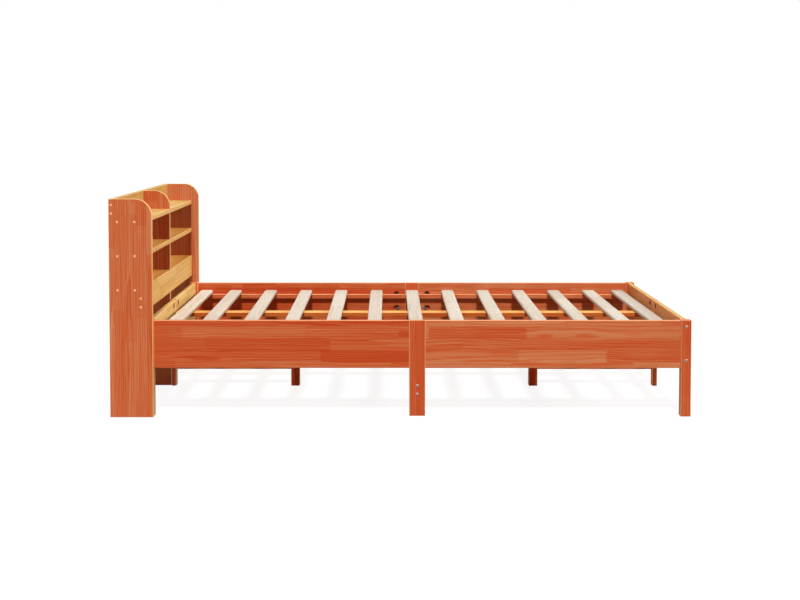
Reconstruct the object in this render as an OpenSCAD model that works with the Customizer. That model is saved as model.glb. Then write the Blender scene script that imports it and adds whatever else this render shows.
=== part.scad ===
// Solid pine slatted bed frame with an open bookcase headboard.
// X runs from the headboard to the foot end, Y across the bed and Z up.
// The origin is at floor level, in the middle of the whole bed with its bolt heads.
// Right is the -Y side and left is the +Y side. All sizes are in millimetres.

/* [Mattress] */
// Length of the mattress that the frame holds
mattress_l = 2000; // [1800:10:2200]
// Width of the mattress that the frame holds
mattress_w = 1200; // [900:10:1800]
// Play between the mattress and the rails on each side
mattress_play = 2; // [0:0.5:10]

/* [Posts and legs] */
// Side of the square corner posts
post = 38; // [34:1:60]
// How far the posts stand above the rails
post_rise = 2; // [0:1:20]
// Width of the flat legs in the middle of the sides
side_leg_w = 60; // [45:1:90]
// Width of the flat legs in the middle of the ends
end_leg_w = 38; // [30:1:60]
// Thickness of the flat legs in the middle of the ends
end_leg_t = 20; // [18:1:26]
// Length along X of the legs below the centre beam
centre_leg_l = 36; // [28:1:60]
// Width along Y of the legs below the centre beam
centre_leg_w = 38; // [30:1:56]
// Distance from the middle leg to the other legs below the beam
centre_leg_step = 500; // [350:10:650]

/* [Rails] */
// Thickness of the rails
rail_t = 18; // [18:1:24]
// Height of the rails
rail_h = 181; // [170:1:230]
// Height of the rails' top above the floor
rail_top = 363; // [345:1:385]

/* [Bookcase headboard] */
// Height of the headboard
headboard_h = 822; // [800:1:950]
// Depth of the side panels
panel_d = 162; // [140:1:220]
// Thickness of the side panels and the divider
panel_t = 18; // [16:1:26]
// Radius of the panels' top front corners
corner_r = 65; // [20:1:90]
// Gap between the divider's front edge and the leg in the middle of the head end
divider_gap = 4; // [4:0.5:15]
// Thickness of the shelves
shelf_t = 18; // [15:1:22]
// Distance from shelf to shelf
shelf_pitch = 128; // [110:1:140]
// Height of the back board and the front board
board_h = 77; // [60:1:85]
// Thickness of the back board and the front board
board_t = 20; // [16:1:24]

/* [Slats and their supports] */
// Width of a slat
slat_w = 56; // [50:1:80]
// Thickness of a slat
slat_t = 18; // [14:1:24]
// Radius of the slats' rounded long edges
slat_edge_r = 7; // [2:0.5:8]
// Gap between an outermost slat and the end rail
slat_end_gap = 23; // [20:1:40]
// Step from an outermost slat to its neighbour
slat_end_step = 134; // [110:1:150]
// Play at each end of a slat
slat_play = 1.5; // [0.5:0.5:4]
// Depth of the mattress recess, from the rails' top to the slats
recess = 33; // [26:1:60]
// Width along Y of the slat ledges
ledge_w = 22; // [18:1:30]
// Height of the slat ledges
ledge_h = 20; // [16:1:30]
// Width of the centre beam
beam_w = 60; // [50:1:90]
// Thickness of the centre beam
beam_t = 18; // [16:1:30]

/* [Lower stretchers] */
// Height of a stretcher board
stretcher_h = 60; // [50:1:90]
// Thickness of a stretcher board
stretcher_t = 18; // [14:1:24]
// Height of the stretchers' centre line above the floor
stretcher_z = 99; // [85:1:115]

/* [Joints] */
// Depth of the joints' centre below the rails' top
joint_drop = 87; // [84:1:95]
// Distance between the two bolts of a joint at the ends of the bed
wide_step = 128; // [120:1:132]
// Distance between the two bolts of a joint along the sides
narrow_step = 64; // [54:1:74]
// Distance between the two bolts of a stretcher
stretcher_step = 32; // [20:1:38]
// Diameter of the bolts and studs
bolt_d = 6; // [5:0.5:6.5]
// Diameter of the domed bolt heads
bolt_head_d = 12; // [10:0.5:14]
// Height of the domed bolt heads
bolt_head_h = 3; // [2:0.5:3.5]
// Length of a bolt beyond the legs or posts that it goes through
bolt_grip = 39; // [38:1:60]
// Length of the beam's end bolts in the beam
beam_grip = 30; // [24:1:34]
// Diameter of the barrel nuts
barrel_d = 10; // [9:0.5:12]
// Distance from a rail's end to its barrel nut
barrel_inset = 30; // [20:1:34]
// Diameter of the round nut pockets
pocket_d = 32; // [28:1:36]
// Distance from a rail's end to the centre of its nut pocket
pocket_inset = 40; // [32:1:60]
// Wood left behind a nut pocket
pocket_skin = 3.5; // [2:0.5:4]
// Width across the flats of the hexagon nuts
nut_w = 10; // [9:0.5:10.5]
// Thickness of the hexagon nuts
nut_t = 5; // [4:0.5:6]
// Distance from a pocket's centre to the flat of its half-moon washer
washer_flat = 8; // [7:0.5:10]

/* [Screws and dowels] */
// Diameter of the wood screws
screw_d = 4; // [3:0.5:5]
// Diameter of the wood screws' heads
screw_head_d = 8; // [7:0.5:8.5]
// Height of the wood screws' heads
screw_head_h = 2.5; // [2:0.5:3]
// Length of the headboard's screws below the head
headboard_screw_l = 48; // [40:1:60]
// Depth of the screws in the side panels that hold the head posts to them
panel_bite = 10; // [6:1:14]
// Length of the slats' screws
slat_screw_l = 30; // [24:1:34]
// Distance between the two screws of a slat
slat_screw_step = 32; // [20:1:38]
// Length of the ledges' screws
ledge_screw_l = 33; // [28:1:36]
// Distance from a ledge's end to its nearest screw
ledge_screw_inset = 150; // [120:5:250]
// Length of the screws that hold the beam on its legs
beam_screw_l = 50; // [40:1:60]
// Diameter of the caps that cover the panels' screws
cap_d = 9; // [8.5:0.1:10]
// Thickness of the caps
cap_t = 2.5; // [1.5:0.5:3]
// Distance between the two screws at a shelf's end
shelf_screw_step = 65; // [40:1:80]
// Distance between the two screws at a board's end
board_screw_step = 32; // [20:1:40]
// Diameter of the wooden dowels
dowel_d = 8; // [6:1:10]
// Depth of a dowel in each piece that it joins
dowel_depth = 20; // [12:1:26]

/* [Edges and clearances] */
// Radius of the planed edges of the other timber
edge_r = 2.5; // [1:0.5:4]
// Radial clearance of bolts and studs in their holes
bolt_play = 0.25; // [0.15:0.05:0.5]
// Radial clearance of screws, caps, nuts and dowels in their holes
fit_play = 0.1; // [0.1:0.05:0.3]

/* [Hidden] */
$fn = 48;
// Facets of the panels' corners and of the bolts' domes
fine_fn = 96;
// Number of slats: the middle one lies in the middle of the mattress
slat_n = 13;
// Screws of a ledge
ledge_screw_n = 5;
// How far a cut goes past the face that it starts at
over = 1;
// Free depth beyond the tip of a bolt, a screw or a dowel
spare = 1;
// Free length at each end of a barrel nut
barrel_spare = 0.5;
// Depth of the sunk bolt heads below the face
head_sink = 0.5;
// Play of a half-moon washer in its pocket
washer_play = 0.2;
// Length of a stud past its nut
stud_tail = 2;
// Corners of a hexagon nut
hexagon = 6;
// Least flat that the rounded edges leave on a slat's narrow side
slat_flat = 2;

// Frame: the rails stand in the middle of the posts' faces
inner_l = mattress_l + 2 * mattress_play;
inner_w = mattress_w + 2 * mattress_play;
rail_recess = (post - rail_t) / 2;
frame_l = inner_l + 2 * (rail_t + rail_recess);
frame_w = inner_w + 2 * (rail_t + rail_recess);
bed_l = panel_d + frame_l - post;
bed_w = frame_w + 2 * panel_t;
shelf_d = panel_d - (post + end_leg_t) / 2 - divider_gap;

// Places along X: the foot posts' bolt heads stand beyond the bed's length.
// post_x and rail_end_x are distances from mid_x, the middle of the mattress.
back_x = -(bed_l + bolt_head_h) / 2;
mid_x = back_x + panel_d - post + frame_l / 2;
post_x = (frame_l - post) / 2;
rail_end_x = frame_l / 2 - post;
shelf_front_x = back_x + shelf_d;
back_board_x = back_x + board_t / 2;
front_board_x = shelf_front_x - board_t / 2;
shelf_screw_xs = [for (k = [-1, 1]) back_x + shelf_d / 2 + k * shelf_screw_step / 2];

// Places along Y
post_y = (frame_w - post) / 2;
post_face_y = frame_w / 2;
rail_end_y = frame_w / 2 - post;
panel_y = frame_w / 2 + panel_t / 2;

// Places along Z
rail_mid_z = rail_top - rail_h / 2;
post_top = rail_top + post_rise;
slat_top = rail_top - recess;
deck_z = slat_top - slat_t;
beam_mid_z = deck_z - beam_t / 2;
ledge_mid_z = deck_z - ledge_h / 2;
top_shelf_z = headboard_h - board_h - shelf_t / 2;
low_shelf_z = top_shelf_z - 2 * shelf_pitch;
back_board_z = headboard_h - board_h / 2;
front_board_z = low_shelf_z - shelf_t / 2 - board_h / 2;
wide_zs = [for (k = [-1, 1]) rail_top - joint_drop + k * wide_step / 2];
narrow_zs = [for (k = [-1, 1]) rail_top - joint_drop + k * narrow_step / 2];
stretcher_zs = [for (k = [-1, 1]) stretcher_z + k * stretcher_step / 2];
end_leg_bolt_zs = concat(stretcher_zs, [beam_mid_z]);

// Slats: the outermost follow the end rails, and the others share the rest
slat_half_n = (slat_n - 1) / 2;
slat_last_x = inner_l / 2 - slat_end_gap - slat_w / 2;
slat_step = (slat_last_x - slat_end_step) / (slat_half_n - 1);
slat_l = inner_w - 2 * slat_play;
slat_round = min(slat_edge_r, (slat_t - slat_flat) / 2);

// Lengths between the posts and the legs
side_rail_l = rail_end_x - side_leg_w / 2;
end_rail_l = rail_end_y - end_leg_w / 2;
ledge_l = rail_end_x;
beam_l = post_x - end_leg_t / 2;
beam_leg_h = deck_z - beam_t;
lower_from_x = centre_leg_step + centre_leg_l / 2;
cross_from_y = centre_leg_w / 2;
cross_to_y = post_y - rail_t / 2;
lap_d = shelf_d / 2;

// Bores
bolt_hole_d = bolt_d + 2 * bolt_play;
head_hole_d = bolt_head_d + 2 * bolt_play;
nut_bore_d = bolt_d + 2 * fit_play;
barrel_hole_d = barrel_d + 2 * fit_play;
pilot_d = screw_d + 2 * fit_play;
screw_seat_d = screw_head_d + 2 * fit_play;
cap_hole_d = cap_d + 2 * fit_play;
dowel_hole_d = dowel_d + 2 * fit_play;
pocket_depth = rail_t - pocket_skin;
bolt_hole_l = bolt_grip + spare;
head_hole_l = bolt_head_h + head_sink;
cap_hole_l = cap_t + screw_head_h;
headboard_bite = headboard_screw_l - (panel_t - cap_hole_l);
beam_bite = beam_screw_l - beam_t;
slat_bite = slat_screw_l - slat_t;
slat_screw_dx = min(slat_screw_step, slat_w - 2 * slat_round - screw_seat_d) / 2;
ledge_bite = ledge_screw_l - ledge_w;
board_dowel_l = board_t / 2;

// Places of the smaller screws, from the middle of the piece that they hold
beam_screw_y = centre_leg_w / 4;
beam_screw_x = centre_leg_l / 4;
ledge_screw_step = (ledge_l - 2 * ledge_screw_inset) / (ledge_screw_n - 1);
ledge_screw_xs = [for (i = [0:ledge_screw_n - 1]) ledge_screw_inset + i * ledge_screw_step];
// Places of the screws that go through a side panel, as [x, z]
panel_screws = concat(
    [for (k = [-1, 1]) [back_board_x, back_board_z + k * board_screw_step / 2]],
    [for (level = [0:2], x = shelf_screw_xs) [x, top_shelf_z - level * shelf_pitch]],
    [for (k = [-1, 1]) [front_board_x, front_board_z + k * board_screw_step / 2]]
);

orange = "#c4603c";
honey = "#dfb069";
raw = "#eedcc8";
zinc = "#c9c9cc";
cap_tone = "#ffc29a";

// Sign of a side's Y: right is -1 and left is +1
function side_sign(side) = side == "right" ? -1 : 1;
// Sign of an end's X: head is -1 and foot is +1
function end_sign(end) = end == "head" ? -1 : 1;
// Distance of slat i from the middle slat, along X
function slat_x(i) = abs(i) == slat_half_n ? sign(i) * slat_last_x : i * slat_step;
// Turn that brings +Z to the plus or minus direction of an axis
function turn_to(axis, dir) =
    axis == "x" ? [0, dir * 90, 0] : axis == "y" ? [-dir * 90, 0, 0] : [dir > 0 ? 0 : 180, 0, 0];

// A rectangle with planed corners, centred on the origin
module planed(w, h, r = edge_r) {
    square([w - 2 * r, h], center = true);
    square([w, h - 2 * r], center = true);
    for (sx = [-1, 1], sy = [-1, 1])
        translate([sx * (w / 2 - r), sy * (h / 2 - r)])
            circle(r = r);
}

// Planed timber along X, centred at a point, with its sizes along Y and Z
module timber_x(at, l, w, h) {
    translate(at) rotate([90, 0, 90]) linear_extrude(l, center = true) planed(w, h);
}
// Planed timber along Y, centred at a point, with its sizes along X and Z
module timber_y(at, l, w, h, r = edge_r) {
    translate(at) rotate([90, 0, 0]) linear_extrude(l, center = true) planed(w, h, r);
}
// Planed timber that stands on the floor at a point, with its sizes along X and Y
module timber_z(at, h, w, d) {
    translate(at) linear_extrude(h) planed(w, d);
}

// A round bar that starts at a point: a negative length runs the other way
module rod(at, axis, d, l) {
    translate(at) rotate(turn_to(axis, sign(l))) cylinder(d = d, h = abs(l));
}

// A round hole that starts at a face: a negative depth runs the other way
module hole(at, axis, d, l) {
    translate(at) rotate(turn_to(axis, sign(l))) translate([0, 0, -over])
        cylinder(d = d, h = abs(l) + over);
}

// A round hole through a piece, centred at a point inside it
module through(at, axis, d, l) {
    translate(at) rotate(turn_to(axis, 1)) cylinder(d = d, h = l + 2 * over, center = true);
}

// A bolt with a low domed head that lies on the face at a point
module bolt(at, axis, dir, l) {
    dome_r = (pow(bolt_head_d / 2, 2) + pow(bolt_head_h, 2)) / (2 * bolt_head_h);
    translate(at) rotate(turn_to(axis, dir)) {
        cylinder(d = bolt_d, h = l);
        intersection() {
            translate([0, 0, dome_r - bolt_head_h]) sphere(r = dome_r, $fn = fine_fn);
            translate([0, 0, -2 * bolt_head_h]) cylinder(d = bolt_head_d + 2 * over, h = 2 * bolt_head_h);
        }
    }
}

// A wood screw with a flat countersunk head whose top is at a point
module flat_screw(at, axis, dir, l) {
    translate(at) rotate(turn_to(axis, dir)) {
        cylinder(d = screw_d, h = l);
        cylinder(d1 = screw_head_d, d2 = screw_d, h = screw_head_h);
    }
}

// The seat and the hole of such a screw through a piece of thickness t
module flat_screw_hole(at, axis, dir, t) {
    translate(at) rotate(turn_to(axis, dir)) {
        cylinder(d = pilot_d, h = t + over);
        cylinder(d1 = screw_seat_d, d2 = pilot_d, h = screw_head_h + fit_play);
        translate([0, 0, -over]) cylinder(d = screw_seat_d, h = over);
    }
}

// Outline of a panel that stands on the floor, with its top front corner rounded
module panel_outline(d) {
    square([d, headboard_h - corner_r]);
    square([d - corner_r, headboard_h]);
    translate([d - corner_r, headboard_h - corner_r]) intersection() {
        circle(r = corner_r, $fn = fine_fn);
        square(corner_r + over);
    }
}

module side_panel(side) {
    s = side_sign(side);
    color(orange) difference() {
        translate([back_x, s * panel_y + panel_t / 2, 0]) rotate([90, 0, 0])
            linear_extrude(panel_t) panel_outline(panel_d);
        for (p = panel_screws) {
            hole([p.x, s * bed_w / 2, p.y], "y", cap_hole_d, -s * cap_hole_l);
            through([p.x, s * panel_y, p.y], "y", pilot_d, panel_t);
        }
        for (z = stretcher_zs)
            hole([mid_x - post_x, s * post_face_y, z], "y", pilot_d, s * (panel_bite + spare));
    }
}

// The divider's front half has slots for the shelves, which are halved over it
module divider_panel() {
    color(orange) difference() {
        translate([back_x, panel_t / 2, 0]) rotate([90, 0, 0])
            linear_extrude(panel_t) difference() {
                panel_outline(shelf_d);
                translate([-over, headboard_h - board_h]) square([board_t + over, board_h + over]);
                translate([shelf_d - board_t, front_board_z - board_h / 2])
                    square([board_t + over, board_h + shelf_t / 2]);
                for (level = [0:2])
                    translate([lap_d, top_shelf_z - level * shelf_pitch - shelf_t / 2])
                        square([shelf_d, shelf_t]);
            }
        for (k = [-1, 1]) {
            hole([back_x + board_t, 0, back_board_z + k * board_screw_step / 2], "x",
                dowel_hole_d, dowel_depth);
            hole([shelf_front_x - board_t, 0, front_board_z + k * board_screw_step / 2], "x",
                dowel_hole_d, -dowel_depth);
        }
    }
}

// A board from side panel to side panel, which a notch in the divider holds
module cross_board(x, z, divider_dir) {
    color(honey) difference() {
        timber_y([x, 0, z], frame_w, board_t, board_h);
        for (s = [-1, 1], k = [-1, 1])
            hole([x, s * post_face_y, z + k * board_screw_step / 2], "y", pilot_d,
                -s * (headboard_bite + spare));
        for (k = [-1, 1])
            hole([x + divider_dir * board_t / 2, 0, z + k * board_screw_step / 2], "x",
                dowel_hole_d, -divider_dir * board_dowel_l);
    }
}
module back_board() {
    cross_board(back_board_x, back_board_z, 1);
}
module front_board() {
    cross_board(front_board_x, front_board_z, -1);
}

// A shelf from side panel to side panel: its back half has a slot for the divider
module shelf(level) {
    z = top_shelf_z - level * shelf_pitch;
    color(honey) difference() {
        timber_y([back_x + shelf_d / 2, 0, z], frame_w, shelf_d, shelf_t);
        translate([back_x - over, -panel_t / 2, z - shelf_t])
            cube([lap_d + over, panel_t, 2 * shelf_t]);
        for (s = [-1, 1], x = shelf_screw_xs)
            hole([x, s * post_face_y, z], "y", pilot_d, -s * (headboard_bite + spare));
    }
}

// The bolts along X hold the side rails, and those along Y the end rails
module corner_post(end, side) {
    s = side_sign(side);
    x = mid_x + end_sign(end) * post_x;
    y = s * post_y;
    color(orange) difference() {
        timber_z([x, y, 0], post_top, post, post);
        for (z = narrow_zs) through([x, y, z], "x", bolt_hole_d, post);
        for (z = wide_zs) through([x, y, z], "y", bolt_hole_d, post);
        if (end == "head") {
            for (z = wide_zs) hole([x, s * post_face_y, z], "y", head_hole_d, -s * head_hole_l);
            for (z = stretcher_zs) flat_screw_hole([x, s * rail_end_y, z], "y", s, post);
        }
    }
}

module side_leg(side) {
    y = side_sign(side) * post_y;
    color(orange) difference() {
        timber_z([mid_x, y, 0], rail_top, side_leg_w, rail_t);
        for (z = narrow_zs) through([mid_x, y, z], "x", bolt_hole_d, side_leg_w);
        for (z = stretcher_zs) through([mid_x, y, z], "y", bolt_hole_d, rail_t);
    }
}

module end_leg(end) {
    x = mid_x + end_sign(end) * post_x;
    color(orange) difference() {
        timber_z([x, 0, 0], rail_top, end_leg_t, end_leg_w);
        for (z = wide_zs) through([x, 0, z], "y", bolt_hole_d, end_leg_w);
        for (z = end_leg_bolt_zs) through([x, 0, z], "x", bolt_hole_d, end_leg_t);
    }
}

// Leg below the beam: i is -1 at the head, 0 in the middle and 1 at the foot
module beam_leg(i) {
    x = mid_x + i * centre_leg_step;
    screw_xs = i == 0 ? [-beam_screw_x, beam_screw_x] : [0];
    color(orange) difference() {
        timber_z([x, 0, 0], beam_leg_h, centre_leg_l, centre_leg_w);
        for (dx = screw_xs, k = [-1, 1])
            hole([x + dx, k * beam_screw_y, beam_leg_h], "z", pilot_d, -(beam_bite + spare));
        for (z = stretcher_zs) {
            if (i == 0) through([x, 0, z], "y", dowel_hole_d, centre_leg_w);
            else through([x, 0, z], "x", bolt_hole_d, centre_leg_l);
        }
    }
}

// Half of a side rail: bolted to a corner post and drawn to the side leg by studs
module side_rail(end, side) {
    e = end_sign(end);
    s = side_sign(side);
    y = s * post_y;
    inner_y = s * inner_w / 2;
    leg_face_x = mid_x + e * side_leg_w / 2;
    post_face_x = mid_x + e * rail_end_x;
    color(orange) difference() {
        timber_x([leg_face_x + e * side_rail_l / 2, y, rail_mid_z], side_rail_l, rail_t, rail_h);
        for (z = narrow_zs) {
            hole([post_face_x, y, z], "x", bolt_hole_d, -e * bolt_hole_l);
            hole([post_face_x - e * barrel_inset, inner_y, z], "y", barrel_hole_d, s * pocket_depth);
            hole([leg_face_x, y, z], "x", bolt_hole_d, e * pocket_inset);
            hole([leg_face_x + e * pocket_inset, inner_y, z], "y", pocket_d, s * pocket_depth);
        }
        for (dx = ledge_screw_xs)
            hole([mid_x + e * dx, inner_y, ledge_mid_z], "y", pilot_d, s * (ledge_bite + spare));
    }
}

// Half of the head rail or of the foot rail
module end_rail(end, side) {
    e = end_sign(end);
    s = side_sign(side);
    x = mid_x + e * post_x;
    inner_x = mid_x + e * inner_l / 2;
    leg_face_y = s * end_leg_w / 2;
    color(honey) difference() {
        timber_y([x, leg_face_y + s * end_rail_l / 2, rail_mid_z], end_rail_l, rail_t, rail_h);
        for (z = wide_zs) {
            hole([x, s * rail_end_y, z], "y", bolt_hole_d, -s * bolt_hole_l);
            hole([inner_x, s * (rail_end_y - barrel_inset), z], "x", barrel_hole_d, e * pocket_depth);
            hole([x, leg_face_y, z], "y", bolt_hole_d, s * pocket_inset);
            hole([inner_x, leg_face_y + s * pocket_inset, z], "x", pocket_d, e * pocket_depth);
        }
    }
}

module ledge(end, side) {
    e = end_sign(end);
    s = side_sign(side);
    ledge_face_y = inner_w / 2 - ledge_w;
    color(orange) difference() {
        timber_x([mid_x + e * ledge_l / 2, s * (ledge_face_y + ledge_w / 2), ledge_mid_z],
            ledge_l, ledge_w, ledge_h);
        for (dx = ledge_screw_xs)
            flat_screw_hole([mid_x + e * dx, s * ledge_face_y, ledge_mid_z], "y", s, ledge_w);
    }
}

// Half of the beam: from the middle of the bed to the end leg
module centre_beam(end) {
    e = end_sign(end);
    slat_screw_xs = [for (i = [0:slat_half_n], k = [-1, 1]) slat_x(i) + k * slat_screw_dx];
    color(honey) difference() {
        timber_x([mid_x + e * beam_l / 2, 0, beam_mid_z], beam_l, beam_w, beam_t);
        for (dx = slat_screw_xs)
            if (dx > 0) hole([mid_x + e * dx, 0, deck_z], "z", pilot_d, -(slat_bite + spare));
        for (dx = [beam_screw_x, centre_leg_step], k = [-1, 1])
            flat_screw_hole([mid_x + e * dx, k * beam_screw_y, deck_z], "z", -1, beam_t);
        hole([mid_x + e * beam_l, 0, beam_mid_z], "x", bolt_hole_d, -e * (beam_grip + spare));
    }
}

// Stretcher along the middle of the bed, from the end leg to a leg below the beam
module lower_stretcher(end) {
    e = end_sign(end);
    l = beam_l - lower_from_x;
    color(orange) difference() {
        timber_x([mid_x + e * (lower_from_x + l / 2), 0, stretcher_z], l, stretcher_t, stretcher_h);
        for (z = stretcher_zs) {
            hole([mid_x + e * lower_from_x, 0, z], "x", bolt_hole_d, e * bolt_hole_l);
            hole([mid_x + e * beam_l, 0, z], "x", bolt_hole_d, -e * bolt_hole_l);
        }
    }
}

// Stretcher across the bed, from a side leg to the middle leg below the beam
module cross_stretcher(side) {
    s = side_sign(side);
    l = cross_to_y - cross_from_y;
    color(orange) difference() {
        timber_y([mid_x, s * (cross_from_y + l / 2), stretcher_z], l, stretcher_t, stretcher_h);
        for (z = stretcher_zs) {
            hole([mid_x, s * cross_from_y, z], "y", dowel_hole_d, s * dowel_depth);
            hole([mid_x, s * cross_to_y, z], "y", bolt_hole_d, -s * bolt_hole_l);
        }
    }
}

module slat(i) {
    x = mid_x + slat_x(i);
    color(raw) difference() {
        timber_y([x, 0, slat_top - slat_t / 2], slat_l, slat_w, slat_t, slat_round);
        for (k = [-1, 1])
            flat_screw_hole([x + k * slat_screw_dx, 0, slat_top], "z", -1, slat_t);
    }
}

// Domed bolts of the corner posts, the legs, the stretchers and the beam
module frame_bolts() {
    color(zinc) {
        for (e = [-1, 1], s = [-1, 1]) {
            sunk = e < 0 ? head_hole_l : 0;
            for (z = narrow_zs)
                bolt([mid_x + e * (post_x + post / 2), s * post_y, z], "x", -e, post + bolt_grip);
            for (z = wide_zs)
                bolt([mid_x + e * post_x, s * (post_face_y - sunk), z], "y", -s,
                    post - sunk + bolt_grip);
        }
        for (s = [-1, 1], z = stretcher_zs)
            bolt([mid_x, s * (post_y + rail_t / 2), z], "y", -s, rail_t + bolt_grip);
        for (e = [-1, 1]) {
            end_face_x = mid_x + e * (post_x + end_leg_t / 2);
            for (z = stretcher_zs) {
                bolt([end_face_x, 0, z], "x", -e, end_leg_t + bolt_grip);
                bolt([mid_x + e * (lower_from_x - centre_leg_l), 0, z], "x", e,
                    centre_leg_l + bolt_grip);
            }
            bolt([end_face_x, 0, beam_mid_z], "x", -e, end_leg_t + beam_grip);
        }
    }
}

// Threaded studs through the flat legs, from pocket to pocket
module joint_studs() {
    reach = pocket_inset - washer_flat + nut_t + stud_tail;
    side_half = side_leg_w / 2 + reach;
    end_half = end_leg_w / 2 + reach;
    color(zinc) {
        for (s = [-1, 1], z = narrow_zs)
            rod([mid_x - side_half, s * post_y, z], "x", bolt_d, 2 * side_half);
        for (e = [-1, 1], z = wide_zs)
            rod([mid_x + e * post_x, -end_half, z], "y", bolt_d, 2 * end_half);
    }
}

// Half-moon washer and nut of a pocket whose axis is Y and whose leg is on the +X side
module pocket_nut() {
    difference() {
        rotate([90, 0, 0]) linear_extrude(nut_w, center = true) intersection() {
            circle(d = pocket_d - 2 * washer_play);
            translate([washer_flat, -pocket_d / 2]) square([pocket_d, pocket_d]);
        }
        rod([0, 0, 0], "x", bolt_hole_d, pocket_d);
    }
    difference() {
        translate([washer_flat - nut_t, 0, 0]) rotate([0, 90, 0])
            cylinder(d = nut_w / cos(180 / hexagon), h = nut_t, $fn = hexagon);
        rod([0, 0, 0], "x", nut_bore_d, pocket_d);
    }
}

// Barrel nut in a hole that starts at a face: the bolt goes through it along the other axis
module barrel_nut(at, axis, dir, bolt_axis) {
    shift = axis == "x" ? [dir, 0, 0] : [0, dir, 0];
    difference() {
        rod(at + barrel_spare * shift, axis, barrel_d, dir * (pocket_depth - 2 * barrel_spare));
        through(at + rail_t / 2 * shift, bolt_axis, nut_bore_d, barrel_d);
    }
}

// Nuts of the studs in their round pockets, and the barrel nuts of the post bolts
module joint_nuts() {
    side_pocket_x = side_leg_w / 2 + pocket_inset;
    end_pocket_y = end_leg_w / 2 + pocket_inset;
    color(zinc) for (e = [-1, 1], s = [-1, 1]) {
        for (z = narrow_zs) {
            translate([mid_x + e * side_pocket_x, s * post_y, z])
                rotate([0, 0, e > 0 ? 180 : 0]) pocket_nut();
            barrel_nut([mid_x + e * (rail_end_x - barrel_inset), s * inner_w / 2, z], "y", s, "x");
        }
        for (z = wide_zs) {
            translate([mid_x + e * post_x, s * end_pocket_y, z])
                rotate([0, 0, -s * 90]) pocket_nut();
            barrel_nut([mid_x + e * inner_l / 2, s * (rail_end_y - barrel_inset), z], "x", e, "y");
        }
    }
}

// Screws through the side panels into the shelves and the boards, sunk below their caps
module headboard_screws() {
    color(zinc) for (s = [-1, 1], p = panel_screws) {
        rod([p.x, s * (bed_w / 2 - cap_t), p.y], "y", screw_head_d, -s * screw_head_h);
        rod([p.x, s * (bed_w / 2 - cap_hole_l), p.y], "y", screw_d, -s * headboard_screw_l);
    }
}

module screw_caps() {
    color(cap_tone) for (s = [-1, 1], p = panel_screws)
        rod([p.x, s * bed_w / 2, p.y], "y", cap_d, -s * cap_t);
}

// Flat-headed screws of the slats, the beam, the ledges and the head posts
module countersunk_screws() {
    color(zinc) {
        for (i = [-slat_half_n:slat_half_n], k = [-1, 1])
            flat_screw([mid_x + slat_x(i) + k * slat_screw_dx, 0, slat_top], "z", -1, slat_screw_l);
        for (dx = [beam_screw_x, centre_leg_step], e = [-1, 1], k = [-1, 1])
            flat_screw([mid_x + e * dx, k * beam_screw_y, deck_z], "z", -1, beam_screw_l);
        for (e = [-1, 1], s = [-1, 1], dx = ledge_screw_xs)
            flat_screw([mid_x + e * dx, s * (inner_w / 2 - ledge_w), ledge_mid_z], "y", s,
                ledge_screw_l);
        for (s = [-1, 1], z = stretcher_zs)
            flat_screw([mid_x - post_x, s * rail_end_y, z], "y", s, post + panel_bite);
    }
}

// Wooden dowels between the divider and its boards, and through the middle leg below the beam
module dowels() {
    bite = dowel_depth - spare;
    board_bite = board_dowel_l - spare;
    color(raw) {
        for (k = [-1, 1]) {
            rod([back_x + board_t - board_bite, 0, back_board_z + k * board_screw_step / 2], "x",
                dowel_d, board_bite + bite);
            rod([shelf_front_x - board_t + board_bite, 0, front_board_z + k * board_screw_step / 2],
                "x", dowel_d, -(board_bite + bite));
        }
        for (z = stretcher_zs)
            rod([mid_x, -cross_from_y - bite, z], "y", dowel_d, 2 * (cross_from_y + bite));
    }
}

side_panel("right");  // side_panel_right
side_panel("left");  // side_panel_left
divider_panel();
back_board();
front_board();
shelf(0);  // upper_shelf
shelf(1);  // middle_shelf
shelf(2);  // lower_shelf
corner_post("head", "right");  // head_post_right
corner_post("head", "left");  // head_post_left
corner_post("foot", "right");  // foot_post_right
corner_post("foot", "left");  // foot_post_left
side_leg("right");  // side_leg_right
side_leg("left");  // side_leg_left
end_leg("head");  // head_centre_leg
end_leg("foot");  // foot_centre_leg
beam_leg(-1);  // beam_leg_head
beam_leg(0);  // beam_leg_middle
beam_leg(1);  // beam_leg_foot
side_rail("head", "right");  // side_rail_head_right
side_rail("foot", "right");  // side_rail_foot_right
side_rail("head", "left");  // side_rail_head_left
side_rail("foot", "left");  // side_rail_foot_left
end_rail("head", "right");  // head_rail_right
end_rail("head", "left");  // head_rail_left
end_rail("foot", "right");  // foot_rail_right
end_rail("foot", "left");  // foot_rail_left
ledge("head", "right");  // ledge_head_right
ledge("foot", "right");  // ledge_foot_right
ledge("head", "left");  // ledge_head_left
ledge("foot", "left");  // ledge_foot_left
centre_beam("head");  // centre_beam_head
centre_beam("foot");  // centre_beam_foot
lower_stretcher("head");  // lower_stretcher_head
lower_stretcher("foot");  // lower_stretcher_foot
cross_stretcher("right");  // cross_stretcher_right
cross_stretcher("left");  // cross_stretcher_left
slat(-6);  // slat_01
slat(-5);  // slat_02
slat(-4);  // slat_03
slat(-3);  // slat_04
slat(-2);  // slat_05
slat(-1);  // slat_06
slat(0);  // slat_07
slat(1);  // slat_08
slat(2);  // slat_09
slat(3);  // slat_10
slat(4);  // slat_11
slat(5);  // slat_12
slat(6);  // slat_13
frame_bolts();
joint_studs();
joint_nuts();
headboard_screws();
screw_caps();
countersunk_screws();
dowels();
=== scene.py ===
"""A slatted pine bed frame with a low bookcase headboard.

X runs from the headboard to the foot end, Y across the bed and Z up. Right is the -Y side.
All lengths are in metres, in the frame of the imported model.
"""

import logging
from collections.abc import Callable, Iterable, Sequence
from dataclasses import dataclass, field, replace
from enum import Enum
from math import cos, pi, radians, sqrt

import bmesh
import bpy
from mathutils import Euler, Matrix, Vector

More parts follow.
